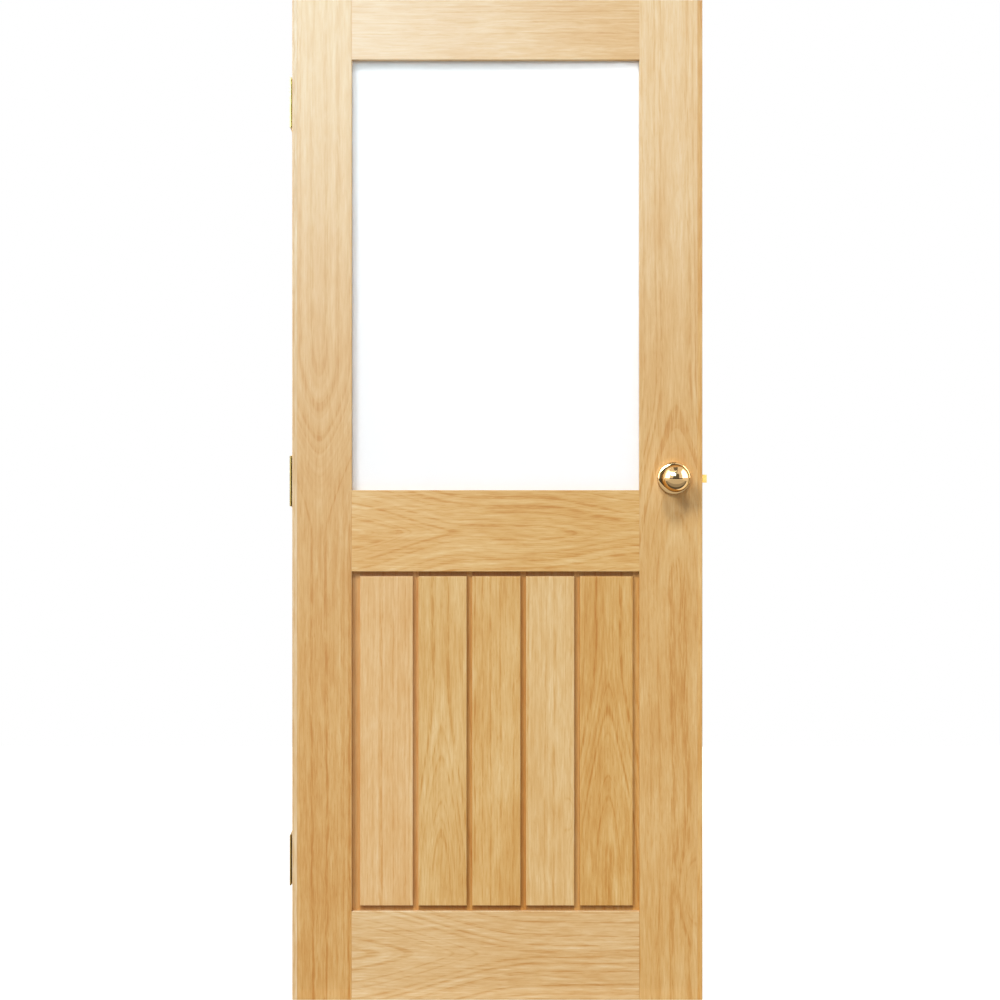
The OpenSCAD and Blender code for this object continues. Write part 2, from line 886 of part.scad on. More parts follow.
// Turned ball knob with a waisted neck and a square socket
module knob() {
    neck = [
        for (i = [0 : arc_steps])
            let (share = i / arc_steps)
                [
                    neck_r - neck_waist * (1 - cos(360 * share)) / 2,
                    rose_h + (neck_top_h - rose_h) * share
                ]
    ];
    back = arc(knob_r, knob_back_h, 0, knob_girth_h, -neck_top_angle, 0);
    front = arc(knob_r, knob_reach - knob_girth_h, 0, knob_girth_h, 0, 90);
    difference() {
        rotate_extrude()
            polygon(concat(
                [[0, neck_end_gap], [neck_r, neck_end_gap]],
                neck,
                [for (i = [1 : arc_steps]) back[i]],
                [for (i = [1 : arc_steps - 1]) front[i]],
                [[0, knob_reach]]
            ));
        translate([-socket_w / 2, -socket_w / 2, 0])
            cube([socket_w, socket_w, socket_h]);
        translate([0, 0, grub_h])
            rotate([90, 0, 0])
                cylinder(h = knob_r, d = grub_d + 2 * pin_clear);
    }
}

module grub_screw() {
    translate([0, -spindle_w / 2, grub_h])
        rotate([90, 0, 0])
            cylinder(h = grub_l, d = grub_d);
}

// Spun cover of the rose
module rose() {
    dome_r = rose_r - rose_crown_r;
    dome_h = rose_h - rose_skirt;
    rotate_extrude()
        polygon(concat(
            [[rose_r, 0]],
            arc(dome_r, dome_h, rose_crown_r, rose_skirt, 0, 90),
            [[neck_hole_r, rose_h], [neck_hole_r, rose_h - rose_wall]],
            arc(dome_r - rose_wall, dome_h - rose_wall, rose_crown_r, rose_skirt, 90, 0),
            [[rose_r - rose_wall, 0]]
        ));
}

module rose_plate() {
    difference() {
        cylinder(h = rose_plate_t, r = rose_plate_r);
        translate([0, 0, -over])
            cylinder(h = rose_plate_t + 2 * over, r = neck_hole_r);
        place_rose_screws() countersunk_hole(rose_plate_t);
    }
}

module front_knob() {
    color(brass) on_front() knob();
}

module back_knob() {
    color(brass) on_back() knob();
}

module front_rose() {
    color(brass) on_front() rose();
}

module back_rose() {
    color(brass) on_back() rose();
}

module front_rose_plate() {
    color(steel) on_front() rose_plate();
}

module back_rose_plate() {
    color(steel) on_back() rose_plate();
}

module rose_screws() {
    color(steel) {
        on_front() place_rose_screws() wood_screw(rose_screw_l);
        on_back() place_rose_screws() wood_screw(rose_screw_l);
    }
}

module spindle() {
    color(steel)
        translate([knob_x - spindle_w / 2, -spindle_l / 2, knob_z - spindle_w / 2])
            cube([spindle_w, spindle_l, spindle_w]);
}

module knob_grub_screws() {
    color(steel) {
        on_front() grub_screw();
        on_back() grub_screw();
    }
}

// Places children at the follower, with their plane upright and their height towards the front
module in_latch() {
    translate([knob_x, 0, knob_z])
        rotate([90, 0, 0])
            children();
}

// Outline of the latch case, inset on all sides
module case_outline(inset) {
    x0 = -case_rear + inset;
    x1 = forend_x0 - inset;
    z1 = case_h / 2 - inset;
    polygon([
        [x0, -z1 + case_chamfer], [x0 + case_chamfer, -z1], [x1, -z1],
        [x1, z1], [x0 + case_chamfer, z1], [x0, z1 - case_chamfer]
    ]);
}

module case_holes() {
    translate([0, 0, -case_t])
        cylinder(h = 2 * case_t, d = journal_d + 2 * journal_clear);
    for (place = rivet_places)
        translate([place.x, place.y, -case_t])
            cylinder(h = 2 * case_t, d = rivet_d);
}

module bolt_opening() {
    opening_y = bolt_w + 2 * bolt_clear;
    opening_h = bolt_h + 2 * bolt_clear;
    translate([knob_x + bolt_x0, -opening_y / 2, knob_z - opening_h / 2])
        cube([bolt_x1 - bolt_x0, opening_y, opening_h]);
}

module latch_case() {
    color(steel)
        difference() {
            in_latch()
                difference() {
                    union() {
                        difference() {
                            translate([0, 0, -case_t / 2])
                                linear_extrude(height = case_t - case_wall)
                                    case_outline(0);
                            translate([0, 0, -inner_t / 2])
                                linear_extrude(height = case_t)
                                    case_outline(case_wall);
                        }
                        for (side = [0, 1])
                            mirror([0, side, 0])
                                translate([post_x0, post_z0, -case_t / 2])
                                    cube([post_w, post_h, case_t - case_wall]);
                    }
                    case_holes();
                }
            bolt_opening();
        }
}

module latch_cover() {
    color(steel)
        in_latch()
            difference() {
                translate([0, 0, inner_t / 2])
                    linear_extrude(height = case_wall)
                        case_outline(0);
                case_holes();
            }
}

module latch_rivets() {
    color(steel)
        in_latch()
            for (place = rivet_places)
                translate([place.x, place.y, -case_t / 2])
                    cylinder(h = case_t, d = rivet_d);
}

module latch_forend() {
    color(brass)
        difference() {
            translate([knob_x + forend_x0, -forend_w / 2, knob_z - forend_h / 2])
                cube([forend_t, forend_w, forend_h]);
            bolt_opening();
            place_forend_screws() countersunk_hole(forend_t);
        }
}

module forend_screws() {
    color(brass) place_forend_screws() wood_screw(forend_screw_l);
}

// Follower: journals in the case, a flange between its walls and two horns
module latch_follower() {
    color(steel)
        in_latch()
            difference() {
                union() {
                    cylinder(h = case_t, d = journal_d, center = true);
                    cylinder(h = flange_t, d = flange_d, center = true);
                    linear_extrude(height = yoke_t, center = true)
                        union() {
                            square([2 * horn_tip_r, 2 * horn_tip_z], center = true);
                            for (side = [-1, 1])
                                translate([0, side * horn_tip_z])
                                    circle(r = horn_tip_r);
                        }
                }
                cube([socket_w, socket_w, case_t + 2 * over], center = true);
            }
}

// Bolt: bevelled head, round stem and a yoke whose hooks reach behind the horns
module latch_bolt() {
    color(brass) {
        in_latch()
            linear_extrude(height = yoke_t, center = true)
                polygon(mirrored([
                    [crossbar_x1, -arm_z1],
                    [hook_x0 + case_chamfer, -arm_z1],
                    [hook_x0, -arm_z1 + case_chamfer],
                    [hook_x0, -hook_z0],
                    [hook_x1, -hook_z0],
                    [hook_x1, -arm_z0],
                    [crossbar_x0, -arm_z0]
                ]));
        translate([knob_x, 0, knob_z]) {
            translate([crossbar_x0, 0, 0])
                rotate([0, 90, 0])
                    cylinder(h = bolt_x0 - crossbar_x0 + bolt_guide, d = stem_d);
            linear_extrude(height = bolt_h, center = true)
                polygon([
                    [bolt_x0, -bolt_w / 2],
                    [backset, -bolt_w / 2],
                    [bolt_x1, bolt_w / 2 - bolt_tip_flat],
                    [bolt_x1, bolt_w / 2],
                    [bolt_x0, bolt_w / 2]
                ]);
        }
    }
}

module latch_spring() {
    last = spring_steps * spring_turns;
    points = [
        for (step = [0 : last])
            for (side = [0 : spring_sides - 1])
                spring_point(step, side)
    ];
    walls = [
        for (step = [0 : last - 1])
            for (side = [0 : spring_sides - 1])
                let (
                    next = (side + 1) % spring_sides,
                    here = step * spring_sides,
                    there = here + spring_sides
                )
                [here + side, here + next, there + next, there + side]
    ];
    start = [for (side = [spring_sides - 1 : -1 : 0]) side];
    end = [for (side = [0 : spring_sides - 1]) last * spring_sides + side];
    color(steel)
        translate([knob_x, 0, knob_z])
            polyhedron(points, concat(walls, [start, end]));
}

// Hinge flap on the leaf's side of the pin, with every second knuckle from the first
module flap(first, screw_places) {
    difference() {
        union() {
            translate([joint_gap / 2, -flap_reach, 0])
                cube([flap_t, flap_reach, hinge_h]);
            for (k = [first : 2 : knuckle_count - 1])
                translate([0, 0, k * knuckle_l + knuckle_gap / 2])
                    cylinder(h = knuckle_l - knuckle_gap, r = knuckle_r);
        }
        for (k = [1 - first : 2 : knuckle_count - 1])
            translate([0, 0, k * knuckle_l - knuckle_gap / 2])
                cylinder(h = knuckle_l + knuckle_gap, r = knuckle_r + knuckle_gap);
        translate([0, 0, -over])
            cylinder(h = hinge_h + 2 * over, d = pin_d + 2 * pin_clear);
        place_flap_screws(screw_places) countersunk_hole(flap_t);
    }
}

module door_flap(z) {
    color(brass) at_hinge(z) flap(1, door_screw_places);
}

module frame_flap(z) {
    color(brass) at_hinge(z) mirror([1, 0, 0]) flap(0, frame_screw_places);
}

// Loose pin with a button tip at each end
module hinge_pin(z) {
    button = arc(tip_d / 2, tip_h - tip_rim, 0, tip_rim, 0, 90);
    half_section = concat(
        [[pin_d / 2, 0], [tip_d / 2, 0]],
        [for (i = [0 : arc_steps - 1]) button[i]],
        [[0, tip_h]]
    );
    color(brass)
        at_hinge(z)
            rotate_extrude()
                polygon(concat(
                    [for (i = [len(half_section) - 1 : -1 : 0]) [half_section[i].x, -half_section[i].y]],
                    [for (p = half_section) [p.x, p.y + hinge_h]]
                ));
}

module door_flap_screws() {
    color(brass)
        for (z = hinge_places)
            at_hinge(z) place_flap_screws(door_screw_places) wood_screw(hinge_screw_l);
}

hinge_stile();
lock_stile();
hinge_lipping();
lock_lipping();
top_rail();
lock_rail();
bottom_rail();
top_rail_dowels();
lock_rail_dowels();
bottom_rail_dowels();
panel_board(0);  // panel_board_1
panel_board(1);  // panel_board_2
panel_board(2);  // panel_board_3
panel_board(3);  // panel_board_4
panel_board(4);  // panel_board_5
glass_pane();
front_glazing_tape();
back_glazing_tape();
setting_blocks();
top_bead();
bottom_bead();
hinge_side_bead();
lock_side_bead();
bead_pins();
front_knob();
back_knob();
front_rose();
back_rose();
front_rose_plate();
back_rose_plate();
rose_screws();
spindle();
knob_grub_screws();
latch_case();
latch_cover();
latch_rivets();
latch_forend();
forend_screws();
latch_follower();
latch_bolt();
latch_spring();
door_flap(top_hinge_z);  // top_door_flap
door_flap(middle_hinge_z);  // middle_door_flap
door_flap(bottom_hinge_z);  // bottom_door_flap
door_flap_screws();
frame_flap(top_hinge_z);  // top_frame_flap
frame_flap(middle_hinge_z);  // middle_frame_flap
frame_flap(bottom_hinge_z);  // bottom_frame_flap
hinge_pin(top_hinge_z);  // top_hinge_pin
hinge_pin(middle_hinge_z);  // middle_hinge_pin
hinge_pin(bottom_hinge_z);  // bottom_hinge_pin
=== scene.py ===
"""Oak door with obscured glass over five raised boards: the finishes, the studio and the camera.

Lengths are in metres unless a name ends in _mm. X runs towards the lock edge, Y from the front face to the
back face and Z up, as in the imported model.
"""

import logging
import math
from dataclasses import dataclass, field, replace
from enum import Enum

import bmesh
import bpy
from bpy.types import Material, Node, NodeSocket, NodeTree, Object
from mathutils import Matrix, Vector


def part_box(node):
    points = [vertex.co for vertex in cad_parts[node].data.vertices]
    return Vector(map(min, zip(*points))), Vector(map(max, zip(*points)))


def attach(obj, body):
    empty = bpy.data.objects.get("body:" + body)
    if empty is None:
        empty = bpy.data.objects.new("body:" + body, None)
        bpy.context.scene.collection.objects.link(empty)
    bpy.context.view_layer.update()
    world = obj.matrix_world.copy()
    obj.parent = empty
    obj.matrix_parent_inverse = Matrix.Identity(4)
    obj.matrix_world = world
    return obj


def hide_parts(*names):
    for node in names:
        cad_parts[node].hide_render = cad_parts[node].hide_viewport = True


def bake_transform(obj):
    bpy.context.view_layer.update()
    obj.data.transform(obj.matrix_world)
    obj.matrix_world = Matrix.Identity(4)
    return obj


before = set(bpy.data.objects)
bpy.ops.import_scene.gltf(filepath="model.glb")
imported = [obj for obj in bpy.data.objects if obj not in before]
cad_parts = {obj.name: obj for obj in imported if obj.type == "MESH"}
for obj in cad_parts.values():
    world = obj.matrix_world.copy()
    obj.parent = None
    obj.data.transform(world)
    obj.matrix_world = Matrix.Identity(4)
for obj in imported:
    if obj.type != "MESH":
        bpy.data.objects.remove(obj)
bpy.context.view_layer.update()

MM = 0.001
LOG = logging.getLogger("oak_door")
WHITE = "#FFFFFF"

# Points closer than this are one point, in metres
MERGE = 1e-7
# Edges sharper than this are eased in wood and stay sharp in turned pieces
EDGE_ANGLE_DEG = 35.0
EDGE_SEGMENTS = 2
EDGE_WELD_MM = 0.002
FLAT_ANGLE_DEG = 0.5

# Inputs of a Map Range node for the values between which most of a noise lies
NOISE_RANGE = {1: 0.3, 2: 0.7}
# Noise that makes some years wide and pale and others narrow and dark
RING_NOISE = {"Scale": 1.0, "Detail": 2.0, "Roughness": 0.6}
# Steps by which a piece's seed shifts its patterns, and rings by which it shifts its years
SEED_STEPS = (1.0, 1.7, 2.3)
SEED_RINGS = 10

NodeInput = NodeSocket | float | tuple[float, ...]


class Grain(Enum):
    """Direction of the grain in a piece, as the axes across it, through it and along it."""

    UPRIGHT = (0, 1, 2)
    ACROSS = (2, 1, 0)


class Face(Enum):
    """Side of the leaf that a fitting stands on, as the sign of Y pointing away from the leaf."""

    FRONT = -1
    BACK = 1


def linear(colour: str) -> tuple[float, float, float, float]:
    """Turns an sRGB hex colour into linear light.

    Args:
        colour: The colour as "#RRGGBB".

    Returns:
        Linear red, green and blue, with an alpha of 1.
    """
    values = [int(colour[i:i + 2], 16) / 255 for i in (1, 3, 5)]
    light = [v / 12.92 if v <= 0.04045 else ((v + 0.055) / 1.055) ** 2.4 for v in values]
    return (*light, 1.0)


def add_node(tree: NodeTree, kind: str, inputs: dict[int | str, NodeInput] | None = None,
             **settings: object) -> Node:
    """Adds a node with its settings, its constant inputs and its links.

    Args:
        tree: The node tree that takes the node.
        kind: Name of the node's type, without its "ShaderNode" prefix.
        inputs: For each input, by index or name, the socket that feeds it or its constant value.
        **settings: Properties of the node.

    Returns:
        The new node.
    """
    node = tree.nodes.new(f"ShaderNode{kind}")
    for name, value in settings.items():
        setattr(node, name, value)
    for key, value in (inputs or {}).items():
        if isinstance(value, NodeSocket):
            tree.links.new(value, node.inputs[key])
        else:
            node.inputs[key].default_value = value
    return node


def new_material(name: str) -> tuple[Material, NodeTree]:
    """Makes an empty node material.

    Args:
        name: Name of the material.

    Returns:
        The material and its node tree.
    """
    material = bpy.data.materials.new(name)
    material.use_nodes = True
    material.node_tree.nodes.clear()
    return material, material.node_tree


def add_surface(tree: NodeTree, inputs: dict[int | str, NodeInput]) -> None:
    """Ends a material's tree with its Principled shader.

    Args:
        tree: The tree.
        inputs: For each input of the shader, the socket that feeds it or its constant value.
    """
    shader = add_node(tree, "BsdfPrincipled", inputs)
    add_node(tree, "OutputMaterial", {"Surface": shader.outputs[0]})


def dress(name: str, material: Material) -> Object:
    """Gives a CAD node its finish.

    Args:
        name: Name of the node.
        material: The finish.

    Returns:
        The node's object.
    """
    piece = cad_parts[name]
    piece.data.materials.clear()
    piece.data.materials.append(material)
    LOG.info("%s: %s", name, material.name)
    return piece


def join_rings(mesh: bmesh.types.BMesh, rings: list[list[bmesh.types.BMVert]]) -> None:
    """Joins each ring of points to the next with smooth faces, which meet where that is a single point.

    Args:
        mesh: The mesh that holds the points.
        rings: The rings, in order.
    """
    for here, there in zip(rings, rings[1:]):
        for i, corner in enumerate(here):
            j = (i + 1) % len(here)
            ends = there if len(there) == 1 else [there[j], there[i]]
            mesh.faces.new([corner, here[j], *ends]).smooth = True


def add_piece(name: str, mesh: bmesh.types.BMesh, node: str, material: Material) -> Object:
    """Makes a piece that stands for a CAD node.

    Args:
        name: Name of the piece.
        mesh: Its mesh, which is used up.
        node: CAD node that it stands for.
        material: The finish.

    Returns:
        The new piece.
    """
    bmesh.ops.recalc_face_normals(mesh, faces=mesh.faces)
    data = bpy.data.meshes.new(name)
    mesh.to_mesh(data)
    mesh.free()
    data.materials.append(material)
    piece = bpy.data.objects.new(name, data)
    bpy.context.scene.collection.objects.link(piece)
    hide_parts(node)
    LOG.info("%s: %s", name, material.name)
    return piece


def ease_edges(piece: Object, width_mm: float) -> None:
    """Breaks the sharp edges of a wooden CAD node with a small round, as sandpaper does.

    Args:
        piece: The node's object.
        width_mm: Width of the round.
    """
    weld = piece.modifiers.new("weld", "WELD")
    weld.merge_threshold = EDGE_WELD_MM * MM
    flat = piece.modifiers.new("flat_faces", "DECIMATE")
    flat.decimate_type = "DISSOLVE"
    flat.angle_limit = math.radians(FLAT_ANGLE_DEG)
    bevel = piece.modifiers.new("eased_edges", "BEVEL")
    bevel.width = width_mm * MM
    bevel.segments = EDGE_SEGMENTS
    bevel.limit_method = "ANGLE"
    bevel.angle_limit = math.radians(EDGE_ANGLE_DEG)
    bevel.use_clamp_overlap = False
    bevel.harden_normals = True
    normals = piece.modifiers.new("even_shading", "WEIGHTED_NORMAL")
    normals.keep_sharp = True


def stretched_noise(tree: NodeTree, place: NodeSocket, size: tuple[float, float, float],
                    detail: float, shift: tuple[float, float, float] = (0.0, 0.0, 0.0)) -> Node:
    """Adds noise with its own grain size along each axis.

    Args:
        tree: The node tree that takes the nodes.
        place: Coordinates of the surface.
        size: Size of the pattern along each axis, in the unit of the coordinates.
        detail: Number of finer layers.
        shift: Start of the pattern, in its own steps.

    Returns:
        The noise node.
    """
    scale = tuple(1 / length for length in size)
    spread = add_node(tree, "VectorMath", {0: place, 1: scale, 2: shift}, operation="MULTIPLY_ADD")
    return add_node(tree, "TexNoise", {"Vector": spread.outputs[0], "Scale": 1.0, "Detail": detail})


@dataclass(frozen=True)
class Arch:
    """Stretch along the grain where the rings rise to the face, which cuts them into nested arches."""

    start_mm: float
    end_mm: float
    rise_mm: float


@dataclass(frozen=True)
class Knot:
    """Place beside a small branch, where the rings swell out and the grain swirls round it."""

    across_mm: float
    along_mm: float
    half_width_mm: float
    half_length_mm: float
    swell_mm: float


@dataclass(frozen=True)
class PaintedSheen:
    """Painted sheen: wood drawn paler, with a fainter figure, towards one end, for the glow of light on the
    lacquer.
    """

    colour: str
    start_mm: float
    end_mm: float
    figure: float = 1.0

    def share(self, tree: NodeTree, place: NodeSocket, most: float) -> NodeSocket:
        """Grows along the grain from nothing to the most that is asked for.

        Args:
            tree: The tree that takes the nodes.
            place: The piece's grain coordinates.
            most: Value in the palest wood.

        Returns:
            The growing value.
        """
        along = add_node(tree, "SeparateXYZ", {0: place}).outputs[2]
        return add_node(tree, "MapRange", {0: along, 1: self.start_mm, 2: self.end_mm, 4: most},
                        interpolation_type="SMOOTHSTEP").outputs[0]

    def blend(self, tree: NodeTree, place: NodeSocket, colour: NodeInput) -> NodeInput:
        """Paints the sheen in: lets the wood grow paler along the grain.

        Args:
            tree: The tree that takes the nodes.
            place: The piece's grain coordinates.
            colour: Linear colour of the rest of the piece.

        Returns:
            The colour with the paler end in it.
        """
        return add_node(tree, "Mix", {0: self.share(tree, place, 1.0), 6: colour, 7: linear(self.colour)},
                        data_type="RGBA").outputs[2]

    def calm(self, tree: NodeTree, place: NodeSocket, depth: NodeInput) -> NodeInput:
        """Lets the figure grow fainter along the grain, under the painted sheen.

        Args:
            tree: The tree that takes the nodes.
            place: The piece's grain coordinates.
            depth: Power of the colour, which is 1 in plain wood.

        Returns:
            The power with the fainter end in it.
        """
        fade = self.share(tree, place, 1.0 - self.figure)
        return add_node(tree, "Mix", {0: fade, 2: depth, 3: 1.0}, data_type="FLOAT").outputs[0]


@dataclass(frozen=True)
class EndChannelShade:
    """Painted shade in the rebates at both ends of a board, where the rail and the board's end cast shade."""

    sides: tuple[float, float]
    ends: tuple[float, float]
    # Colour and share of the painted shade
    colour: str = "#7A4A14"
    share: float = 0.42
    blend_mm: float = 0.5

    def paint_end_shade(self, tree: NodeTree, tone: NodeSocket) -> NodeSocket:
        """Paints shade on the wood beyond the ends of the board's face, within the board's width.

        Args:
            tree: The tree that takes the nodes.
            tone: Colour of the wood.

        Returns:
            The colour with the painted shade in it.
        """
        middle = (sum(self.sides) / 2, 0.0, sum(self.ends) / 2)
        half_w, half_l = ((high - low) / 2 for low, high in (self.sides, self.ends))
        blend = self.blend_mm * MM
        place = add_node(tree, "TexCoord").outputs["Object"]
        arm = add_node(tree, "VectorMath", {0: place, 1: middle}, operation="SUBTRACT")
        reach = add_node(tree, "VectorMath", {0: arm.outputs[0]}, operation="ABSOLUTE")
        across, _, along = add_node(tree, "SeparateXYZ", {0: reach.outputs[0]}).outputs
        past = add_node(tree, "MapRange", {0: along, 1: half_l, 2: half_l + blend, 4: self.share})
        within = add_node(tree, "MapRange", {0: across, 1: half_w + blend, 2: half_w - blend})
        end_shade_mask = add_node(tree, "Math", {0: past.outputs[0], 1: within.outputs[0]}, operation="MULTIPLY")
        return add_node(tree, "Mix", {0: end_shade_mask.outputs[0], 6: tone, 7: linear(self.colour)},
                        data_type="RGBA").outputs[2]


@dataclass(frozen=True)
class LacqueredOak:
    """European oak, planed and sanded, under a clear satin lacquer.

    The eye gets fine streaks and short dark pores along the grain, arches where the saw met the growth
    rings, slow changes of tone and a low, broad sheen. The rings lie round a heart line behind the face, so
    the edges and end grain match the faces. Some pieces also carry painted shade in their channels and a
    painted sheen towards one end.
    """

    colour: str
    grain: Grain
    seed: float
    heart_across_mm: float = 20.0
    heart_depth_mm: float = 24.0
    drift_deg: float = 0.0
    ring_mm: float = 7.0
    arches: tuple[Arch, ...] = ()
    knots: tuple[Knot, ...] = ()
    ring_tone: float = 0.35
    line_tone: float = 0.24
    fibre_tone: float = 0.75
    streak_tone: float = 0.55
    broad_tone: float = 0.5
    pore_tone: float = 0.14
    # Painted shade in the channels, and the depths from the middle over which it comes in, in mm
    channel_shade_tone: float = 0.0
    channel_mm: tuple[float, float] = (11.0, 9.8)
    # Painted sheen: paler wood and a fainter figure towards one end
    painted_sheen: PaintedSheen | None = None
    # Painted shade in the rebates at the board's ends
    end_shade: EndChannelShade | None = None
    roughness: float = 0.43
    roughness_spread: float = 0.05
    specular: float = 0.4
    # Width and length of each pattern. Fibres and pores are a tenth as wide in real oak, and are drawn as
    # coarse as they need to show here
    fibre_mm: tuple[float, float] = (3.0, 40.0)
    streak_mm: tuple[float, float] = (9.0, 80.0)
    broad_mm: tuple[float, float] = (60.0, 200.0)
    pore_mm: tuple[float, float] = (1.6, 16.0)
    bend_mm: tuple[float, float] = (120.0, 420.0)
    sway_mm: tuple[float, float] = (9.0, 9.0)
    # Values of the noise between which a pore, a line of spring wood or a dash of it comes in
    pore_range: tuple[float, float] = (0.56, 0.70)
    line_range: tuple[float, float] = (0.45, 0.33)
    dash_range: tuple[float, float] = (0.62, 0.42)
    fibre_detail: float = 3.0
    relief: float = 0.25
    relief_mm: float = 0.12

    def noise(self, tree: NodeTree, place: NodeSocket, size_mm: tuple[float, float],
              detail: float = 2.0) -> Node:
        """Adds noise that differs from piece to piece.

        Args:
            tree: The tree that takes the nodes.
            place: The piece's grain coordinates.
            size_mm: Width of the pattern across the grain and its length along it.
            detail: Number of finer layers.

        Returns:
            The noise node.
        """
        width, length = size_mm
        across, through, along = (step * self.seed for step in SEED_STEPS)
        return stretched_noise(tree, place, (width, width, length), detail,
                               (across + width, through + length, along))

    def grain_space(self, tree: NodeTree, node: str) -> NodeSocket:
        """Sets out a piece in millimetres from its middle: across the grain, through the piece and along.

        Args:
            tree: The tree that takes the nodes.
            node: CAD node that the piece is.

        Returns:
            The coordinates, swaying from side to side as the tree grew.
        """
        low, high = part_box(node)
        across, through, along = self.grain.value
        axes = add_node(tree, "SeparateXYZ", {0: add_node(tree, "TexCoord").outputs["Object"]}).outputs
        turned = add_node(tree, "CombineXYZ", {0: axes[across], 1: axes[through], 2: axes[along]})
        start = tuple(-(low[axis] + high[axis]) / 2 / MM for axis in self.grain.value)
        place = add_node(tree, "Mapping", {0: turned.outputs[0], "Location": start, "Scale": (1 / MM,) * 3,
                                           "Rotation": (0.0, math.radians(self.drift_deg), 0.0)})
        sway = self.noise(tree, place.outputs[0], self.bend_mm)
        reach = (*self.sway_mm, 0.0)
        middle = add_node(tree, "VectorMath", {0: sway.outputs[1], 1: (0.5, 0.5, 0.5)}, operation="SUBTRACT")
        return add_node(tree, "VectorMath", {0: middle.outputs[0], 1: reach, 2: place.outputs[0]},
                        operation="MULTIPLY_ADD").outputs[0]

    def ring_count(self, tree: NodeTree, place: NodeSocket) -> NodeSocket:
        """Counts the rings from the heart of the tree out to the surface.

        Args:
            tree: The tree that takes the nodes.
            place: The piece's grain coordinates.

        Returns:
            The count, which the arches and knots raise.
        """
        heart = (self.heart_across_mm, self.heart_depth_mm, 0.0)
        arm = add_node(tree, "VectorMath", {0: place, 1: heart}, operation="SUBTRACT")
        flat = add_node(tree, "VectorMath", {0: arm.outputs[0], 1: (1.0, 1.0, 0.0)}, operation="MULTIPLY")
        radius = add_node(tree, "VectorMath", {0: flat.outputs[0]}, operation="LENGTH").outputs["Value"]
        along = add_node(tree, "SeparateXYZ", {0: place}).outputs[2]
        rises = [add_node(tree, "MapRange", {0: along, 1: arch.start_mm, 2: arch.end_mm, 3: 0.0,
                                             4: arch.rise_mm}, interpolation_type="SMOOTHSTEP")
                 for arch in self.arches]
        for knot in self.knots:
            size = (1 / knot.half_width_mm, 0.0, 1 / knot.half_length_mm)
            shift = (-knot.across_mm / knot.half_width_mm, 0.0, -knot.along_mm / knot.half_length_mm)
            offset = add_node(tree, "VectorMath", {0: place, 1: size, 2: shift}, operation="MULTIPLY_ADD")
            away = add_node(tree, "VectorMath", {0: offset.outputs[0]}, operation="LENGTH")
            rises.append(add_node(tree, "MapRange", {0: away.outputs["Value"], 1: 0.0, 2: 1.0,
                                                     3: knot.swell_mm, 4: 0.0},
                                  interpolation_type="SMOOTHERSTEP"))
        for rise in rises:
            radius = add_node(tree, "Math", {0: radius, 1: rise.outputs[0]}, operation="ADD").outputs[0]
        return add_node(tree, "Math", {0: radius, 1: 1 / self.ring_mm, 2: SEED_RINGS * self.seed},
                        operation="MULTIPLY_ADD").outputs[0]

    def figure(self, tree: NodeTree, place: NodeSocket, fibre: NodeSocket, pores: NodeSocket) -> NodeInput:
        """Adds up the marks of the wood and the painted shade in its channels.

        Args:
            tree: The tree that takes the nodes.
            place: The piece's grain coordinates.
            fibre: Noise of the fibres.
            pores: 1 in the pores.

        Returns:
            A power of the colour: above 1 the wood is deeper and more orange, below 1 it is paler.
        """
        years = self.ring_count(tree, place)
        rings = add_node(tree, "TexNoise", {"W": years, **RING_NOISE}, noise_dimensions="1D").outputs[0]
        streak = self.noise(tree, place, self.streak_mm).outputs[0]
        broad = self.noise(tree, place, self.broad_mm).outputs[0]
        # Spring wood is a thin dark line in each year, broken into dashes by its pores
        spring, dashes = (add_node(tree, "MapRange", {0: noise, 1: start, 2: end}).outputs[0]
                          for noise, (start, end) in ((rings, self.line_range), (fibre, self.dash_range)))
        lines = add_node(tree, "Math", {0: spring, 1: dashes}, operation="MULTIPLY").outputs[0]
        # Painted shade: the wood is drawn deeper in the channels, where shade falls
        through = add_node(tree, "SeparateXYZ", {0: place}).outputs[1]
        inside = add_node(tree, "Math", {0: through}, operation="ABSOLUTE").outputs[0]
        shallow_mm, deep_mm = self.channel_mm
        channel_shade = add_node(tree, "MapRange", {0: inside, 1: shallow_mm, 2: deep_mm}).outputs[0]
        # The first four make the wood deeper here and paler there, and the others only make it deeper
        evens = ((rings, self.ring_tone), (fibre, self.fibre_tone), (streak, self.streak_tone),
                 (broad, self.broad_tone))
        depth: NodeInput = 1.0 + sum(weight for _, weight in evens) / 2
        marks = [*((mark, -weight) for mark, weight in evens), (lines, self.line_tone),
                 (pores, self.pore_tone), (channel_shade, self.channel_shade_tone)]
        for mark, weight in marks:
            depth = add_node(tree, "Math", {0: mark, 1: weight, 2: depth},
                             operation="MULTIPLY_ADD").outputs[0]
        return depth

    def material(self, node: str) -> Material:
        """Makes the finish of one piece of oak.

        Args:
            node: CAD node that the piece is, whose middle the pattern is set out from.

        Returns:
            The material.
        """
        material, tree = new_material(f"lacquered_oak_{node}")
        place = self.grain_space(tree, node)
        fibre = self.noise(tree, place, self.fibre_mm, self.fibre_detail).outputs[0]
        specks = self.noise(tree, place, self.pore_mm).outputs[0]
        wood, pore = self.pore_range
        pores = add_node(tree, "MapRange", {0: specks, 1: wood, 2: pore}).outputs[0]
        depth = self.figure(tree, place, fibre, pores)
        base: NodeInput = linear(self.colour)
        # Painted sheen, paler towards the top of a stile or the left of a rail
        if self.painted_sheen:
            base = self.painted_sheen.blend(tree, place, base)
            depth = self.painted_sheen.calm(tree, place, depth)
        tone = add_node(tree, "Gamma", {0: base, 1: depth}).outputs[0]
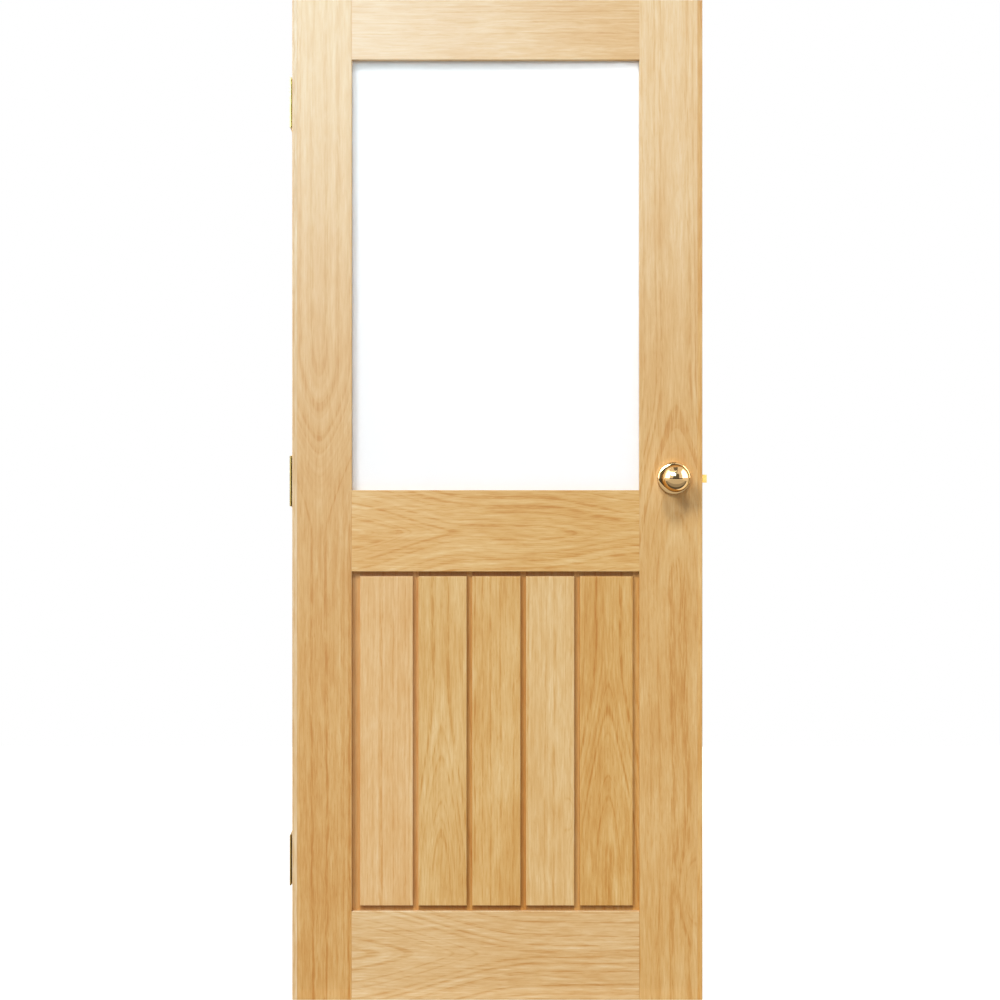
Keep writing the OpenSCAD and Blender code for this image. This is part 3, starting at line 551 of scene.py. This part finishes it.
        # Painted shade in the end rebates, where the rail and the board's end cast shade
        if self.end_shade:
            tone = self.end_shade.paint_end_shade(tree, tone)
        sheen = add_node(tree, "MapRange", {0: fibre, **NOISE_RANGE,
                                            3: self.roughness + self.roughness_spread,
                                            4: self.roughness - self.roughness_spread})
        relief = add_node(tree, "Math", {0: pores, 1: -1.0, 2: fibre}, operation="MULTIPLY_ADD")
        bump = add_node(tree, "Bump", {"Height": relief.outputs[0], "Strength": self.relief,
                                       "Distance": self.relief_mm * MM})
        add_surface(tree, {"Base Color": tone, "Specular IOR Level": self.specular,
                           "Roughness": sheen.outputs[0], "Normal": bump.outputs[0]})
        return material


@dataclass(frozen=True)
class PlainBeech:
    """Beech, turned and left bare: an even pink-brown with fine dark flecks along the dowel."""

    colour: str = "#C9A077"
    fleck_colour: str = "#A87C55"
    fleck_mm: tuple[float, float] = (1.2, 6.0)
    fleck_range: tuple[float, float] = (0.55, 0.68)
    roughness: float = 0.6

    def material(self) -> Material:
        """Makes the finish of the dowels, whose grain runs along X.

        Returns:
            The material.
        """
        material, tree = new_material("turned_beech")
        place = add_node(tree, "TexCoord").outputs["Object"]
        width, length = (size * MM for size in self.fleck_mm)
        specks = stretched_noise(tree, place, (length, width, width), 3.0)
        wood, fleck = self.fleck_range
        flecks = add_node(tree, "MapRange", {0: specks.outputs[0], 1: wood, 2: fleck})
        tone = add_node(tree, "Mix", {0: flecks.outputs[0], 6: linear(self.colour),
                                      7: linear(self.fleck_colour)}, data_type="RGBA")
        add_surface(tree, {"Base Color": tone.outputs[2], "Roughness": self.roughness})
        return material


@dataclass(frozen=True)
class Metal:
    """Worked metal: its own colour, the marks of its making and a trace of tarnish or zinc bloom."""

    name: str
    colour: str
    roughness: float
    mark_mm: tuple[float, float, float]
    mark_depth_mm: float
    mark_strength: float = 0.2
    wear: float = 0.2
    cloud_mm: float = 18.0
    cloud_tone: float = 0.25
    # Tint of the reflection at grazing angles; a dark one paints shade into the rim
    rim_shade_colour: str = WHITE

    def material(self) -> Material:
        """Makes the finish.

        Returns:
            The material.
        """
        material, tree = new_material(self.name)
        place = add_node(tree, "TexCoord").outputs["Object"]
        clouds = add_node(tree, "TexNoise", {"Vector": place, "Scale": 1 / (self.cloud_mm * MM),
                                             "Detail": 3.0})
        depth = add_node(tree, "MapRange", {0: clouds.outputs[0], **NOISE_RANGE, 3: 1.0 - self.cloud_tone / 2,
                                            4: 1.0 + self.cloud_tone / 2})
        tone = add_node(tree, "Gamma", {0: linear(self.colour), 1: depth.outputs[0]})
        marks = stretched_noise(tree, place, tuple(mark * MM for mark in self.mark_mm), 2.0)
        worn = add_node(tree, "MapRange", {0: marks.outputs[0], **NOISE_RANGE,
                                           3: self.roughness * (1 - self.wear),
                                           4: self.roughness * (1 + self.wear)})
        bump = add_node(tree, "Bump", {"Height": marks.outputs[0], "Strength": self.mark_strength,
                                       "Distance": self.mark_depth_mm * MM})
        add_surface(tree, {"Base Color": tone.outputs[0], "Metallic": 1.0, "Roughness": worn.outputs[0],
                           "Specular Tint": linear(self.rim_shade_colour), "Normal": bump.outputs[0]})
        return material


@dataclass(frozen=True)
class ObscuredGlass:
    """White obscured glass, rolled: milky and bright all over, with the faint ripple of its making."""

    colour: str = "#FFFEFD"
    roughness: float = 0.4
    specular: float = 0.1
    ripple_mm: float = 9.0
    ripple_depth_mm: float = 0.05
    ripple_strength: float = 0.15
    roughness_spread: float = 0.03
    ior: float = 1.52
    transmission: float = 0.35

    def material(self) -> Material:
        """Makes the finish of the pane.

        Returns:
            The material.
        """
        material, tree = new_material("white_obscured_glass")
        place = add_node(tree, "TexCoord").outputs["Object"]
        ripple = add_node(tree, "TexNoise", {"Vector": place, "Scale": 1 / (self.ripple_mm * MM),
                                             "Detail": 1.0})
        bump = add_node(tree, "Bump", {"Height": ripple.outputs[0], "Strength": self.ripple_strength,
                                       "Distance": self.ripple_depth_mm * MM})
        haze = add_node(tree, "MapRange", {0: ripple.outputs[0], **NOISE_RANGE,
                                           3: self.roughness - self.roughness_spread,
                                           4: self.roughness + self.roughness_spread})
        add_surface(tree, {"Base Color": linear(self.colour), "Roughness": haze.outputs[0], "IOR": self.ior,
                           "Specular IOR Level": self.specular, "Transmission Weight": self.transmission,
                           "Normal": bump.outputs[0]})
        return material


@dataclass(frozen=True)
class FoamTape:
    """Closed-cell foam glazing tape: matt pale grey with a fine pitted skin."""

    colour: str = "#D8D8D2"
    cell_mm: float = 0.6
    cell_range: tuple[float, float] = (0.0, 0.6)
    tone_range: tuple[float, float] = (1.2, 0.9)
    pit_mm: float = 0.1
    pit_strength: float = 0.4
    roughness: float = 0.85

    def material(self) -> Material:
        """Makes the finish of the tapes and setting blocks.

        Returns:
            The material.
        """
        material, tree = new_material("foam_glazing_tape")
        place = add_node(tree, "TexCoord").outputs["Object"]
        cells = add_node(tree, "TexVoronoi", {"Vector": place, "Scale": 1 / (self.cell_mm * MM)})
        shades = dict(enumerate((*self.cell_range, *self.tone_range), 1))
        depth = add_node(tree, "MapRange", {0: cells.outputs[0], **shades})
        tone = add_node(tree, "Gamma", {0: linear(self.colour), 1: depth.outputs[0]})
        bump = add_node(tree, "Bump", {"Height": cells.outputs[0], "Strength": self.pit_strength,
                                       "Distance": self.pit_mm * MM})
        add_surface(tree, {"Base Color": tone.outputs[0], "Roughness": self.roughness,
                           "Normal": bump.outputs[0]})
        return material


# Cast brass, turned and buffed: a warm mirror, a little cloudy, with painted shade at its rim, where a dark
# edge tint stands in for the shaded wood that the rim reflects
POLISHED_BRASS = Metal("polished_brass", "#E6BE84", 0.07, (2.0, 2.0, 2.0), 0.004, cloud_tone=0.1,
                       rim_shade_colour="#46341F")
# Rolled brass with a satin finish: a soft glow, streaked by lines that are drawn coarser than real ones
SATIN_BRASS = Metal("satin_brass", "#BE9852", 0.36, (6.0, 6.0, 0.25), 0.02)
# Pressed steel, plated with bright zinc: a cool grey with a dull, mottled shine
ZINC_STEEL = Metal("zinc_plated_steel", "#B9BCC0", 0.36, (0.8, 0.8, 0.8), 0.02)


@dataclass
class LeafFrame:
    """Stiles, rails and lippings of the leaf, with the dowels that join them."""

    stile_edge_mm: float = 0.4
    rail_edge_mm: float = 0.5
    wider_edges_mm: dict[str, float] = field(default_factory=lambda: {"bottom_rail": 1.0})
    dowels: tuple[str, ...] = ("top_rail_dowels", "lock_rail_dowels", "bottom_rail_dowels")
    # Each stile and rail is drawn paler towards its top or left end, a painted sheen of the lamps on the
    # lacquer
    oak: dict[str, LacqueredOak] = field(default_factory=lambda: {
        "hinge_stile": LacqueredOak("#CF9F5C", Grain.UPRIGHT, 1.0, heart_across_mm=-10.0, heart_depth_mm=4.0,
                                    ring_mm=10.0, ring_tone=0.42, line_tone=0.2, fibre_tone=0.66,
                                    streak_tone=0.42, broad_tone=0.3, arches=(Arch(300.0, -80.0, 100.0),),
                                    painted_sheen=PaintedSheen("#E0BE8B", -560.0, 1200.0, 0.4)),
        "lock_stile": LacqueredOak("#D2A563", Grain.UPRIGHT, 2.0, heart_across_mm=26.0, drift_deg=0.5,
                                   ring_tone=0.27, line_tone=0.19, fibre_tone=0.58, streak_tone=0.4,
                                   arches=(Arch(-180.0, 250.0, 60.0),),
                                   knots=(Knot(48.0, -780.0, 34.0, 120.0, 22.0),),
                                   painted_sheen=PaintedSheen("#E4C28E", -120.0, 1020.0)),
        "hinge_lipping": LacqueredOak("#DBBA8A", Grain.UPRIGHT, 3.0, heart_across_mm=120.0),
        "lock_lipping": LacqueredOak("#D4A45E", Grain.UPRIGHT, 4.0, heart_across_mm=-120.0),
        "top_rail": LacqueredOak("#DBB174", Grain.ACROSS, 5.0, heart_across_mm=-70.0, ring_tone=0.3,
                                 line_tone=0.2, fibre_tone=0.6, streak_tone=0.42,
                                 painted_sheen=PaintedSheen("#E3C295", 280.0, -320.0, 0.55)),
        "lock_rail": LacqueredOak("#D5A863", Grain.ACROSS, 6.0, heart_across_mm=-4.0, heart_depth_mm=-12.0,
                                  ring_mm=10.0,
                                  arches=(Arch(-330.0, -40.0, 62.0), Arch(80.0, 290.0, 30.0)),
                                  painted_sheen=PaintedSheen("#DBB070", 150.0, -330.0)),
        "bottom_rail": LacqueredOak("#D5AD74", Grain.ACROSS, 7.0, heart_across_mm=4.0, heart_depth_mm=-12.0,
                                    ring_mm=11.0, ring_tone=0.42, line_tone=0.22, broad_tone=0.3,
                                    arches=(Arch(-340.0, 90.0, 88.0),),
                                    painted_sheen=PaintedSheen("#DAB681", 150.0, -330.0)),
    })

    def build(self) -> None:
        """Eases the edges of the oak and gives each piece its own cut of the tree."""
        for name, oak in self.oak.items():
            edge_mm = self.rail_edge_mm if oak.grain is Grain.ACROSS else self.stile_edge_mm
            ease_edges(dress(name, oak.material(name)), self.wider_edges_mm.get(name, edge_mm))
        beech = PlainBeech().material()
        for name in self.dowels:
            dress(name, beech)


@dataclass
class BoardedPanel:
    """Five raised boards, tongued together and housed in the frame."""

    edge_mm: float = 0.4
    gap_mm: float = 10.7
    hinge_channel_mm: float = 16.0
    lock_channel_mm: float = 12.5
    end_channel_mm: float = 10.0
    specular: float = 0.33
    # Each board's channel shade is painted shade; the last board's is small, as light falls into the channel
    # by the lock stile
    oak: tuple[LacqueredOak, ...] = (
        LacqueredOak("#DAB076", Grain.UPRIGHT, 8.0, heart_across_mm=-70.0, channel_shade_tone=0.4,
                     fibre_tone=0.5, streak_tone=0.4, line_tone=0.2),
        LacqueredOak("#D4AA69", Grain.UPRIGHT, 9.0, heart_across_mm=-12.0, heart_depth_mm=0.0,
                     channel_shade_tone=0.5, fibre_tone=0.58, streak_tone=0.45, broad_tone=0.6,
                     arches=(Arch(-320.0, 120.0, 45.0),)),
        LacqueredOak("#D3A764", Grain.UPRIGHT, 10.0, heart_across_mm=60.0, channel_shade_tone=0.5,
                     fibre_tone=0.58, streak_tone=0.45, broad_tone=0.65,
                     knots=(Knot(32.0, 151.0, 18.0, 60.0, 12.0),)),
        LacqueredOak("#D8B175", Grain.UPRIGHT, 11.0, heart_across_mm=70.0, line_tone=0.2, channel_shade_tone=0.5,
                     fibre_tone=0.6, streak_tone=0.45,
                     knots=(Knot(34.0, -146.0, 20.0, 70.0, 14.0),)),
        LacqueredOak("#CE9E57", Grain.UPRIGHT, 12.0, heart_across_mm=-7.0, heart_depth_mm=-4.0,
                     channel_shade_tone=0.1, fibre_tone=0.6, streak_tone=0.45,
                     arches=(Arch(-260.0, 200.0, 60.0),)),
    )

    def build(self) -> None:
        """Gives each board its own cut of the tree, with painted shade in the rebates at its ends."""
        names = [f"panel_board_{number}" for number in range(1, len(self.oak) + 1)]
        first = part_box("hinge_stile")[1].x + self.hinge_channel_mm * MM
        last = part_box("lock_stile")[0].x - self.lock_channel_mm * MM
        starts = [first, *(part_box(name)[0].x for name in names[1:])]
        stops = [*(start - self.gap_mm * MM for start in starts[1:]), last]
        ends = (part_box("bottom_rail")[1].z + self.end_channel_mm * MM,
                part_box("lock_rail")[0].z - self.end_channel_mm * MM)
        for name, oak, *sides in zip(names, self.oak, starts, stops):
            # Each board carries painted shade in its end rebates, within its own width
            cut = replace(oak, specular=self.specular, end_shade=EndChannelShade(tuple(sides), ends))
            ease_edges(dress(name, cut.material(name)), self.edge_mm)


@dataclass
class Glazing:
    """Pane with its tapes and blocks, and the oak beads pinned behind it."""

    edge_mm: float = 0.3
    bead_colour: str = "#D5A867"
    bead_heart_mm: float = 110.0
    first_bead_seed: float = 13.0
    soft: tuple[str, ...] = ("front_glazing_tape", "back_glazing_tape", "setting_blocks")
    beads: dict[str, Grain] = field(default_factory=lambda: {
        "top_bead": Grain.ACROSS, "bottom_bead": Grain.ACROSS,
        "hinge_side_bead": Grain.UPRIGHT, "lock_side_bead": Grain.UPRIGHT,
    })

    def build(self) -> None:
        """Dresses the pane, its packing, its beads and their pins."""
        dress("glass_pane", ObscuredGlass().material())
        foam = FoamTape().material()
        for name in self.soft:
            dress(name, foam)
        for number, (name, grain) in enumerate(self.beads.items()):
            oak = LacqueredOak(self.bead_colour, grain, self.first_bead_seed + number,
                               heart_across_mm=self.bead_heart_mm)
            ease_edges(dress(name, oak.material(name)), self.edge_mm)
        dress("bead_pins", ZINC_STEEL.material())


@dataclass
class KnobSet:
    """Ball knobs on roses, on both faces of the leaf, with the spindle that joins them."""

    girth_mm: float = 42.0
    back_mm: float = 20.0
    neck_d_mm: float = 22.0
    waist_mm: float = 1.5
    skirt_mm: float = 4.2
    crown_d_mm: float = 32.0
    dome_power: float = 0.6
    wall_mm: float = 1.5
    clear_mm: float = 0.1
    turns: int = 128
    arc_steps: int = 40
    hidden: tuple[str, ...] = ("front_rose_plate", "back_rose_plate", "rose_screws", "spindle",
                               "knob_grub_screws", "latch_follower")

    def arc(self, radius: float, height: float, middle: tuple[float, float], start: float, end: float,
            power: float = 1.0) -> list[tuple[float, float]]:
        """Works out points on part of an ellipse, or of one with fuller corners.

        Args:
            radius: Half its width, across the axis.
            height: Half its height, along the axis.
            middle: Its centre, as radius and height.
            start: First angle in degrees.
            end: Last angle in degrees.
            power: Power of the sine and cosine: 1 for an ellipse, less for fuller corners.

        Returns:
            The points, as radius and height.
        """
        angles = [math.radians(start + (end - start) * i / self.arc_steps) for i in range(self.arc_steps + 1)]
        return [(middle[0] + radius * abs(math.cos(a)) ** power,
                 middle[1] + height * math.copysign(abs(math.sin(a)) ** power, a)) for a in angles]

    def knob_profile(self, radius: float, reach: float, rose_h: float,
                     foot: float) -> list[tuple[float, float]]:
        """Works out half the outline of a knob, from its foot in the rose to the middle of its front.

        Args:
            radius: Radius of the ball.
            reach: Height of its front above the face of the leaf.
            rose_h: Height of the rose, where the waisted neck starts.
            foot: Height of the neck's end.

        Returns:
            Points as radius and height, in metres.
        """
        girth, back, neck = self.girth_mm * MM, self.back_mm * MM, self.neck_d_mm * MM / 2
        meet = math.degrees(math.acos(neck / radius))
        top = girth - back * math.sin(math.radians(meet))
        shares = [i / self.arc_steps for i in range(self.arc_steps + 1)]
        waist = [(neck - self.waist_mm * MM * (1 - math.cos(2 * math.pi * share)) / 2,
                  rose_h + (top - rose_h) * share) for share in shares]
        rear = self.arc(radius, back, (0.0, girth), -meet, 0.0)
        front = self.arc(radius, reach - girth, (0.0, girth), 0.0, 90.0)
        return [(neck, foot), *waist, *rear[1:], *front[1:-1], (0.0, reach)]

    def rose_profile(self, radius: float, height: float) -> list[tuple[float, float]]:
        """Works out the outline of a spun rose, from its foot over its dome to its hole and back inside.

        Args:
            radius: Radius of the rose.
            height: Its height.

        Returns:
            Points as radius and height, in metres.
        """
        crown, skirt, wall = self.crown_d_mm * MM / 2, self.skirt_mm * MM, self.wall_mm * MM
        hole = (self.neck_d_mm / 2 + self.clear_mm) * MM
        across, rise, middle = radius - crown, height - skirt, (crown, skirt)
        dome = self.arc(across, rise, middle, 0.0, 90.0, self.dome_power)
        inside = self.arc(across - wall, rise - wall, middle, 90.0, 0.0, self.dome_power)
        return [(radius, 0.0), *dome, (hole, height), (hole, height - wall), *inside, (radius - wall, 0.0),
                (radius, 0.0)]

    def face_y(self, face: Face) -> float:
        """Gives the place of a face of the leaf along Y."""
        low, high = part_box("lock_stile")
        return low.y if face is Face.FRONT else high.y

    def turn(self, name: str, node: str, face: Face, profile: list[tuple[float, float]],
             brass: Material) -> Object:
        """Turns a profile about the knob's axis and puts the piece in the place of its CAD node.

        Args:
            name: Name of the piece.
            node: CAD node that it stands for.
            face: Side of the leaf.
            profile: Half outline, as radius and height above the face of the leaf.
            brass: The finish.

        Returns:
            The new piece.
        """
        low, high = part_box(node)
        middle = (low + high) / 2
        base = self.face_y(face)
        angles = [2 * math.pi * i / self.turns for i in range(self.turns)]
        mesh = bmesh.new()
        rings = []
        for radius, height in profile:
            y = base + face.value * height
            if radius < MERGE:
                rings.append([mesh.verts.new((middle.x, y, middle.z))])
                continue
            spots = [(middle.x + radius * math.cos(a), y, middle.z + radius * math.sin(a)) for a in angles]
            rings.append([mesh.verts.new(spot) for spot in spots])
        join_rings(mesh, rings)
        bmesh.ops.remove_doubles(mesh, verts=mesh.verts, dist=MERGE)
        piece = add_piece(name, mesh, node, brass)
        piece.data.set_sharp_from_angle(angle=math.radians(EDGE_ANGLE_DEG))
        return piece

    def build(self) -> None:
        """Turns the knobs and roses, puts them on their bodies and dresses the whole set."""
        brass = POLISHED_BRASS.material()
        for face in Face:
            side = face.name.lower()
            knob_low, knob_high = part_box(f"{side}_knob")
            rose_low, rose_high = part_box(f"{side}_rose")
            base = self.face_y(face)
            foot, reach = sorted(abs(y - base) for y in (knob_low.y, knob_high.y))
            rose_h = rose_high.y - rose_low.y
            outline = self.knob_profile((knob_high.x - knob_low.x) / 2, reach, rose_h, foot)
            knob = self.turn(f"{side}_ball_knob", f"{side}_knob", face, outline, brass)
            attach(knob, "knob_set")
            outline = self.rose_profile((rose_high.x - rose_low.x) / 2, rose_h)
            rose = self.turn(f"{side}_spun_rose", f"{side}_rose", face, outline, brass)
            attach(rose, "leaf")
        steel = ZINC_STEEL.material()
        for name in self.hidden:
            dress(name, steel)


@dataclass
class Latch:
    """Box latch in the lock stile, with its forend and bolt in the edge of the leaf."""

    brass: tuple[str, ...] = ("latch_forend", "forend_screws", "latch_bolt")
    steel: tuple[str, ...] = ("latch_case", "latch_cover", "latch_rivets")
    wire_mm: float = 1.0
    coils: int = 6
    coil_steps: int = 24
    wire_sides: int = 10

    def wind_spring(self, steel: Material) -> None:
        """Winds the spring in the place of its CAD node, between the case and the bolt.

        Args:
            steel: The finish.
        """
        low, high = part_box("latch_spring")
        middle = (low + high) / 2
        wire = self.wire_mm * MM / 2
        coil = (high.y - low.y) / 2 - wire
        steps = self.coils * self.coil_steps
        angles = [2 * math.pi * i / self.wire_sides for i in range(self.wire_sides)]
        mesh = bmesh.new()
        rings = []
        for step in range(steps + 1):
            turn = 2 * math.pi * step / self.coil_steps
            along = low.x + wire + (high.x - low.x - 2 * wire) * step / steps
            spots = [(along + wire * math.sin(a), coil + wire * math.cos(a)) for a in angles]
            rings.append([mesh.verts.new((x, middle.y + r * math.cos(turn), middle.z + r * math.sin(turn)))
                          for x, r in spots])
        join_rings(mesh, rings)
        for end in (rings[0], rings[-1]):
            mesh.faces.new(end)
        piece = add_piece("wound_spring", mesh, "latch_spring", steel)
        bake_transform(piece)

    def build(self) -> None:
        """Winds the spring and dresses the latch."""
        satin = SATIN_BRASS.material()
        for name in self.brass:
            dress(name, satin)
        zinc = ZINC_STEEL.material()
        for name in self.steel:
            dress(name, zinc)
        self.wind_spring(zinc)


@dataclass
class Hinges:
    """Three brass butt hinges on the hinge edge."""

    places: tuple[str, ...] = ("top", "middle", "bottom")
    parts: tuple[str, ...] = ("door_flap", "frame_flap", "hinge_pin")

    def build(self) -> None:
        """Dresses the flaps, pins and screws."""
        satin = SATIN_BRASS.material()
        for place in self.places:
            for part in self.parts:
                dress(f"{place}_{part}", satin)
        dress("door_flap_screws", satin)


@dataclass(frozen=True)
class Lamp:
    """Soft square lamp, by its direction from the middle of the leaf and its share of the full light."""

    name: str
    way: tuple[float, float, float]
    distance: float
    size: float
    share: float
    colour: str = "#F4F8FF"


@dataclass(frozen=True)
class Card:
    """Panel that shows only in glossy surfaces: a white card, or a dark one with little light."""

    name: str
    place: tuple[float, float, float]
    aim: tuple[float, float, float]
    size: tuple[float, float]
    light: float
    colour: str = WHITE


@dataclass
class Studio:
    """White floor and surround, a soft key lamp from the upper left, and the camera."""

    picture_px: int = 1000
    leaf_middle_px: float = 497.3
    camera_distance: float = 3.4
    floor_drop: float = 0.004
    floor_size: float = 7.0
    floor_colour: str = "#C0C0C0"
    floor_roughness: float = 0.9
    floor_specular: float = 0.1
    floor_glow: float = 0.65
    fill_light: float = 0.28
    fill_colour: str = "#FFF6E2"
    lamps: tuple[Lamp, ...] = (
        Lamp("key_lamp", (-0.5, -0.65, 0.57), 40.0, 13.0, 0.424),
        Lamp("top_lamp", (-0.05, -0.62, 0.78), 40.0, 7.0, 0.2985),
        Lamp("back_lamp", (0.3, 0.75, 0.4), 6.0, 2.5, 0.45),
    )
    cards: tuple[Card, ...] = (
        Card("sheen_card", (-0.9, -3.6, 3.1), (-0.2, 0.0, 1.6), (2.2, 1.6), 18.0, "#BCEAFF"),
        Card("left_card", (-2.3, -1.0, 2.65), (0.0, -1.0, 2.65), (3.2, 3.0), 5.0),
        Card("right_card", (2.9, -1.0, 2.65), (0.0, -1.0, 2.65), (3.2, 3.0), 5.0),
        Card("ceiling_flag", (0.35, -2.6, 3.4), (0.35, -2.6, 0.0), (1.0, 5.6), 0.2),
        Card("front_cloth", (0.35, -5.5, 2.6), (0.35, 0.0, 2.6), (4.4, 3.6), 0.15),
        Card("horizon_cloth", (0.35, -5.4, 0.75), (0.35, 0.0, 0.75), (12.0, 0.7), 0.08),
        Card("far_cloth", (0.35, -3.4, 0.02), (0.35, -3.4, 2.0), (8.0, 4.4), 0.72),
        Card("middle_cloth", (0.35, -0.82, 0.02), (0.35, -0.82, 2.0), (8.0, 0.76), 0.42),
        Card("near_cloth", (0.35, -0.23, 0.02), (0.35, -0.23, 2.0), (8.0, 0.42), 0.12),
    )

    def panel(self, name: str, place: Vector, aim: Vector, size: tuple[float, float]) -> Object:
        """Makes a flat stage panel that faces a point.

        Args:
            name: Name of the panel.
            place: Its middle.
            aim: Point that it faces.
            size: Its width and height.

        Returns:
            The panel.
        """
        half_w, half_h = size[0] / 2, size[1] / 2
        mesh = bpy.data.meshes.new(name)
        corners = [(-half_w, -half_h, 0), (half_w, -half_h, 0), (half_w, half_h, 0), (-half_w, half_h, 0)]
        mesh.from_pydata(corners, [], [(0, 1, 2, 3)])
        panel = bpy.data.objects.new(name, mesh)
        bpy.context.scene.collection.objects.link(panel)
        panel.location = place
        panel.rotation_euler = (aim - place).to_track_quat("Z", "Y").to_euler()
        return panel

    def hang_lamp(self, lamp: Lamp, middle: Vector) -> None:
        """Hangs a lamp so that it gives its share of light to an upright face.

        Args:
            lamp: The lamp.
            middle: Middle of the leaf, which it points at.
        """
        way = Vector(lamp.way).normalized()
        data = bpy.data.lights.new(lamp.name, "AREA")
        data.size = lamp.size
        data.color = linear(lamp.colour)[:3]
        # A square lamp of this power lights a white upright face to its share of white
        data.energy = lamp.share * math.pi ** 2 * lamp.distance ** 2 / abs(way.y)
        light = bpy.data.objects.new(lamp.name, data)
        bpy.context.scene.collection.objects.link(light)
        light.location = middle + way * lamp.distance
        light.rotation_euler = way.to_track_quat("Z", "Y").to_euler()
        LOG.info("%s: %.0f W", lamp.name, data.energy)

    def surround(self) -> None:
        """Makes the white world, which gives an even fill and shows white behind and in the metal."""
        world = bpy.data.worlds.new("white_surround")
        bpy.context.scene.world = world
        world.use_nodes = True
        tree = world.node_tree
        tree.nodes.clear()
        seen = self.seen_rays(tree)
        fill = add_node(tree, "Background", {"Color": linear(self.fill_colour), "Strength": self.fill_light})
        white = add_node(tree, "Background", {"Color": linear(WHITE), "Strength": 1.0})
        mixed = add_node(tree, "MixShader", {0: seen, 1: fill.outputs[0], 2: white.outputs[0]})
        add_node(tree, "OutputWorld", {"Surface": mixed.outputs[0]})

    def seen_rays(self, tree: NodeTree) -> NodeSocket:
        """Tells rays that see the surround from those that carry its light.

        Args:
            tree: The tree that takes the nodes.

        Returns:
            A socket that is 1 for camera, glossy and transmission rays.
        """
        path = add_node(tree, "LightPath").outputs
        seen = path["Is Camera Ray"]
        for kind in ("Is Glossy Ray", "Is Transmission Ray"):
            seen = add_node(tree, "Math", {0: seen, 1: path[kind]}, operation="MAXIMUM").outputs[0]
        return seen

    def floor(self) -> None:
        """Lays the pale floor, which shows white and keeps a faint shadow of the leaf."""
        floor = self.panel("floor", Vector((0, 0, -self.floor_drop)), Vector((0, 0, 1)),
                           (self.floor_size, self.floor_size))
        material, tree = new_material("pale_floor")
        glow = add_node(tree, "Math", {0: self.seen_rays(tree), 1: self.floor_glow}, operation="MULTIPLY")
        add_surface(tree, {"Base Color": linear(self.floor_colour), "Roughness": self.floor_roughness,
                           "Specular IOR Level": self.floor_specular, "Emission Color": linear(WHITE),
                           "Emission Strength": glow.outputs[0]})
        floor.data.materials.append(material)

    def hang_card(self, card: Card) -> None:
        """Hangs a card that only glossy surfaces see.

        Args:
            card: The card.
        """
        panel = self.panel(card.name, Vector(card.place), Vector(card.aim), card.size)
        material, tree = new_material(card.name)
        glow = add_node(tree, "Emission", {"Color": linear(card.colour), "Strength": card.light})
        add_node(tree, "OutputMaterial", {"Surface": glow.outputs[0]})
        panel.data.materials.append(material)
        for ray in ("camera", "diffuse", "transmission", "shadow"):
            setattr(panel, f"visible_{ray}", False)

    def camera(self) -> None:
        """Sets the camera square to the leaf, whose front fills the picture's height."""
        leaf_low, leaf_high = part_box("lock_stile")
        hinge_low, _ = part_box("hinge_lipping")
        _, lock_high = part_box("lock_lipping")
        height = leaf_high.z - leaf_low.z
        shift = (self.picture_px / 2 - self.leaf_middle_px) * height / self.picture_px
        data = bpy.data.cameras.new("camera")
        data.angle = 2 * math.atan(height / 2 / self.camera_distance)
        camera = bpy.data.objects.new("camera", data)
        bpy.context.scene.collection.objects.link(camera)
        camera.location = ((hinge_low.x + lock_high.x) / 2 + shift, leaf_low.y - self.camera_distance,
                           (leaf_low.z + leaf_high.z) / 2)
        camera.rotation_euler = (math.pi / 2, 0.0, 0.0)
        bpy.context.scene.camera = camera

    def build(self) -> None:
        """Builds the studio round the leaf."""
        leaf_low, leaf_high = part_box("lock_stile")
        middle = Vector((0, 0, (leaf_low.z + leaf_high.z) / 2))
        self.camera()
        self.surround()
        self.floor()
        for lamp in self.lamps:
            self.hang_lamp(lamp, middle)
        for card in self.cards:
            self.hang_card(card)
        bpy.context.scene.view_settings.view_transform = "Standard"


def main() -> None:
    """Builds the studio and dresses the sub-assemblies in order."""
    logging.basicConfig(level=logging.INFO, format="%(name)s %(message)s")
    for assembly in (Studio(), LeafFrame(), BoardedPanel(), Glazing(), KnobSet(), Latch(), Hinges()):
        LOG.info("building %s", type(assembly).__name__)
        assembly.build()


if __name__ == "__main__":
    main()
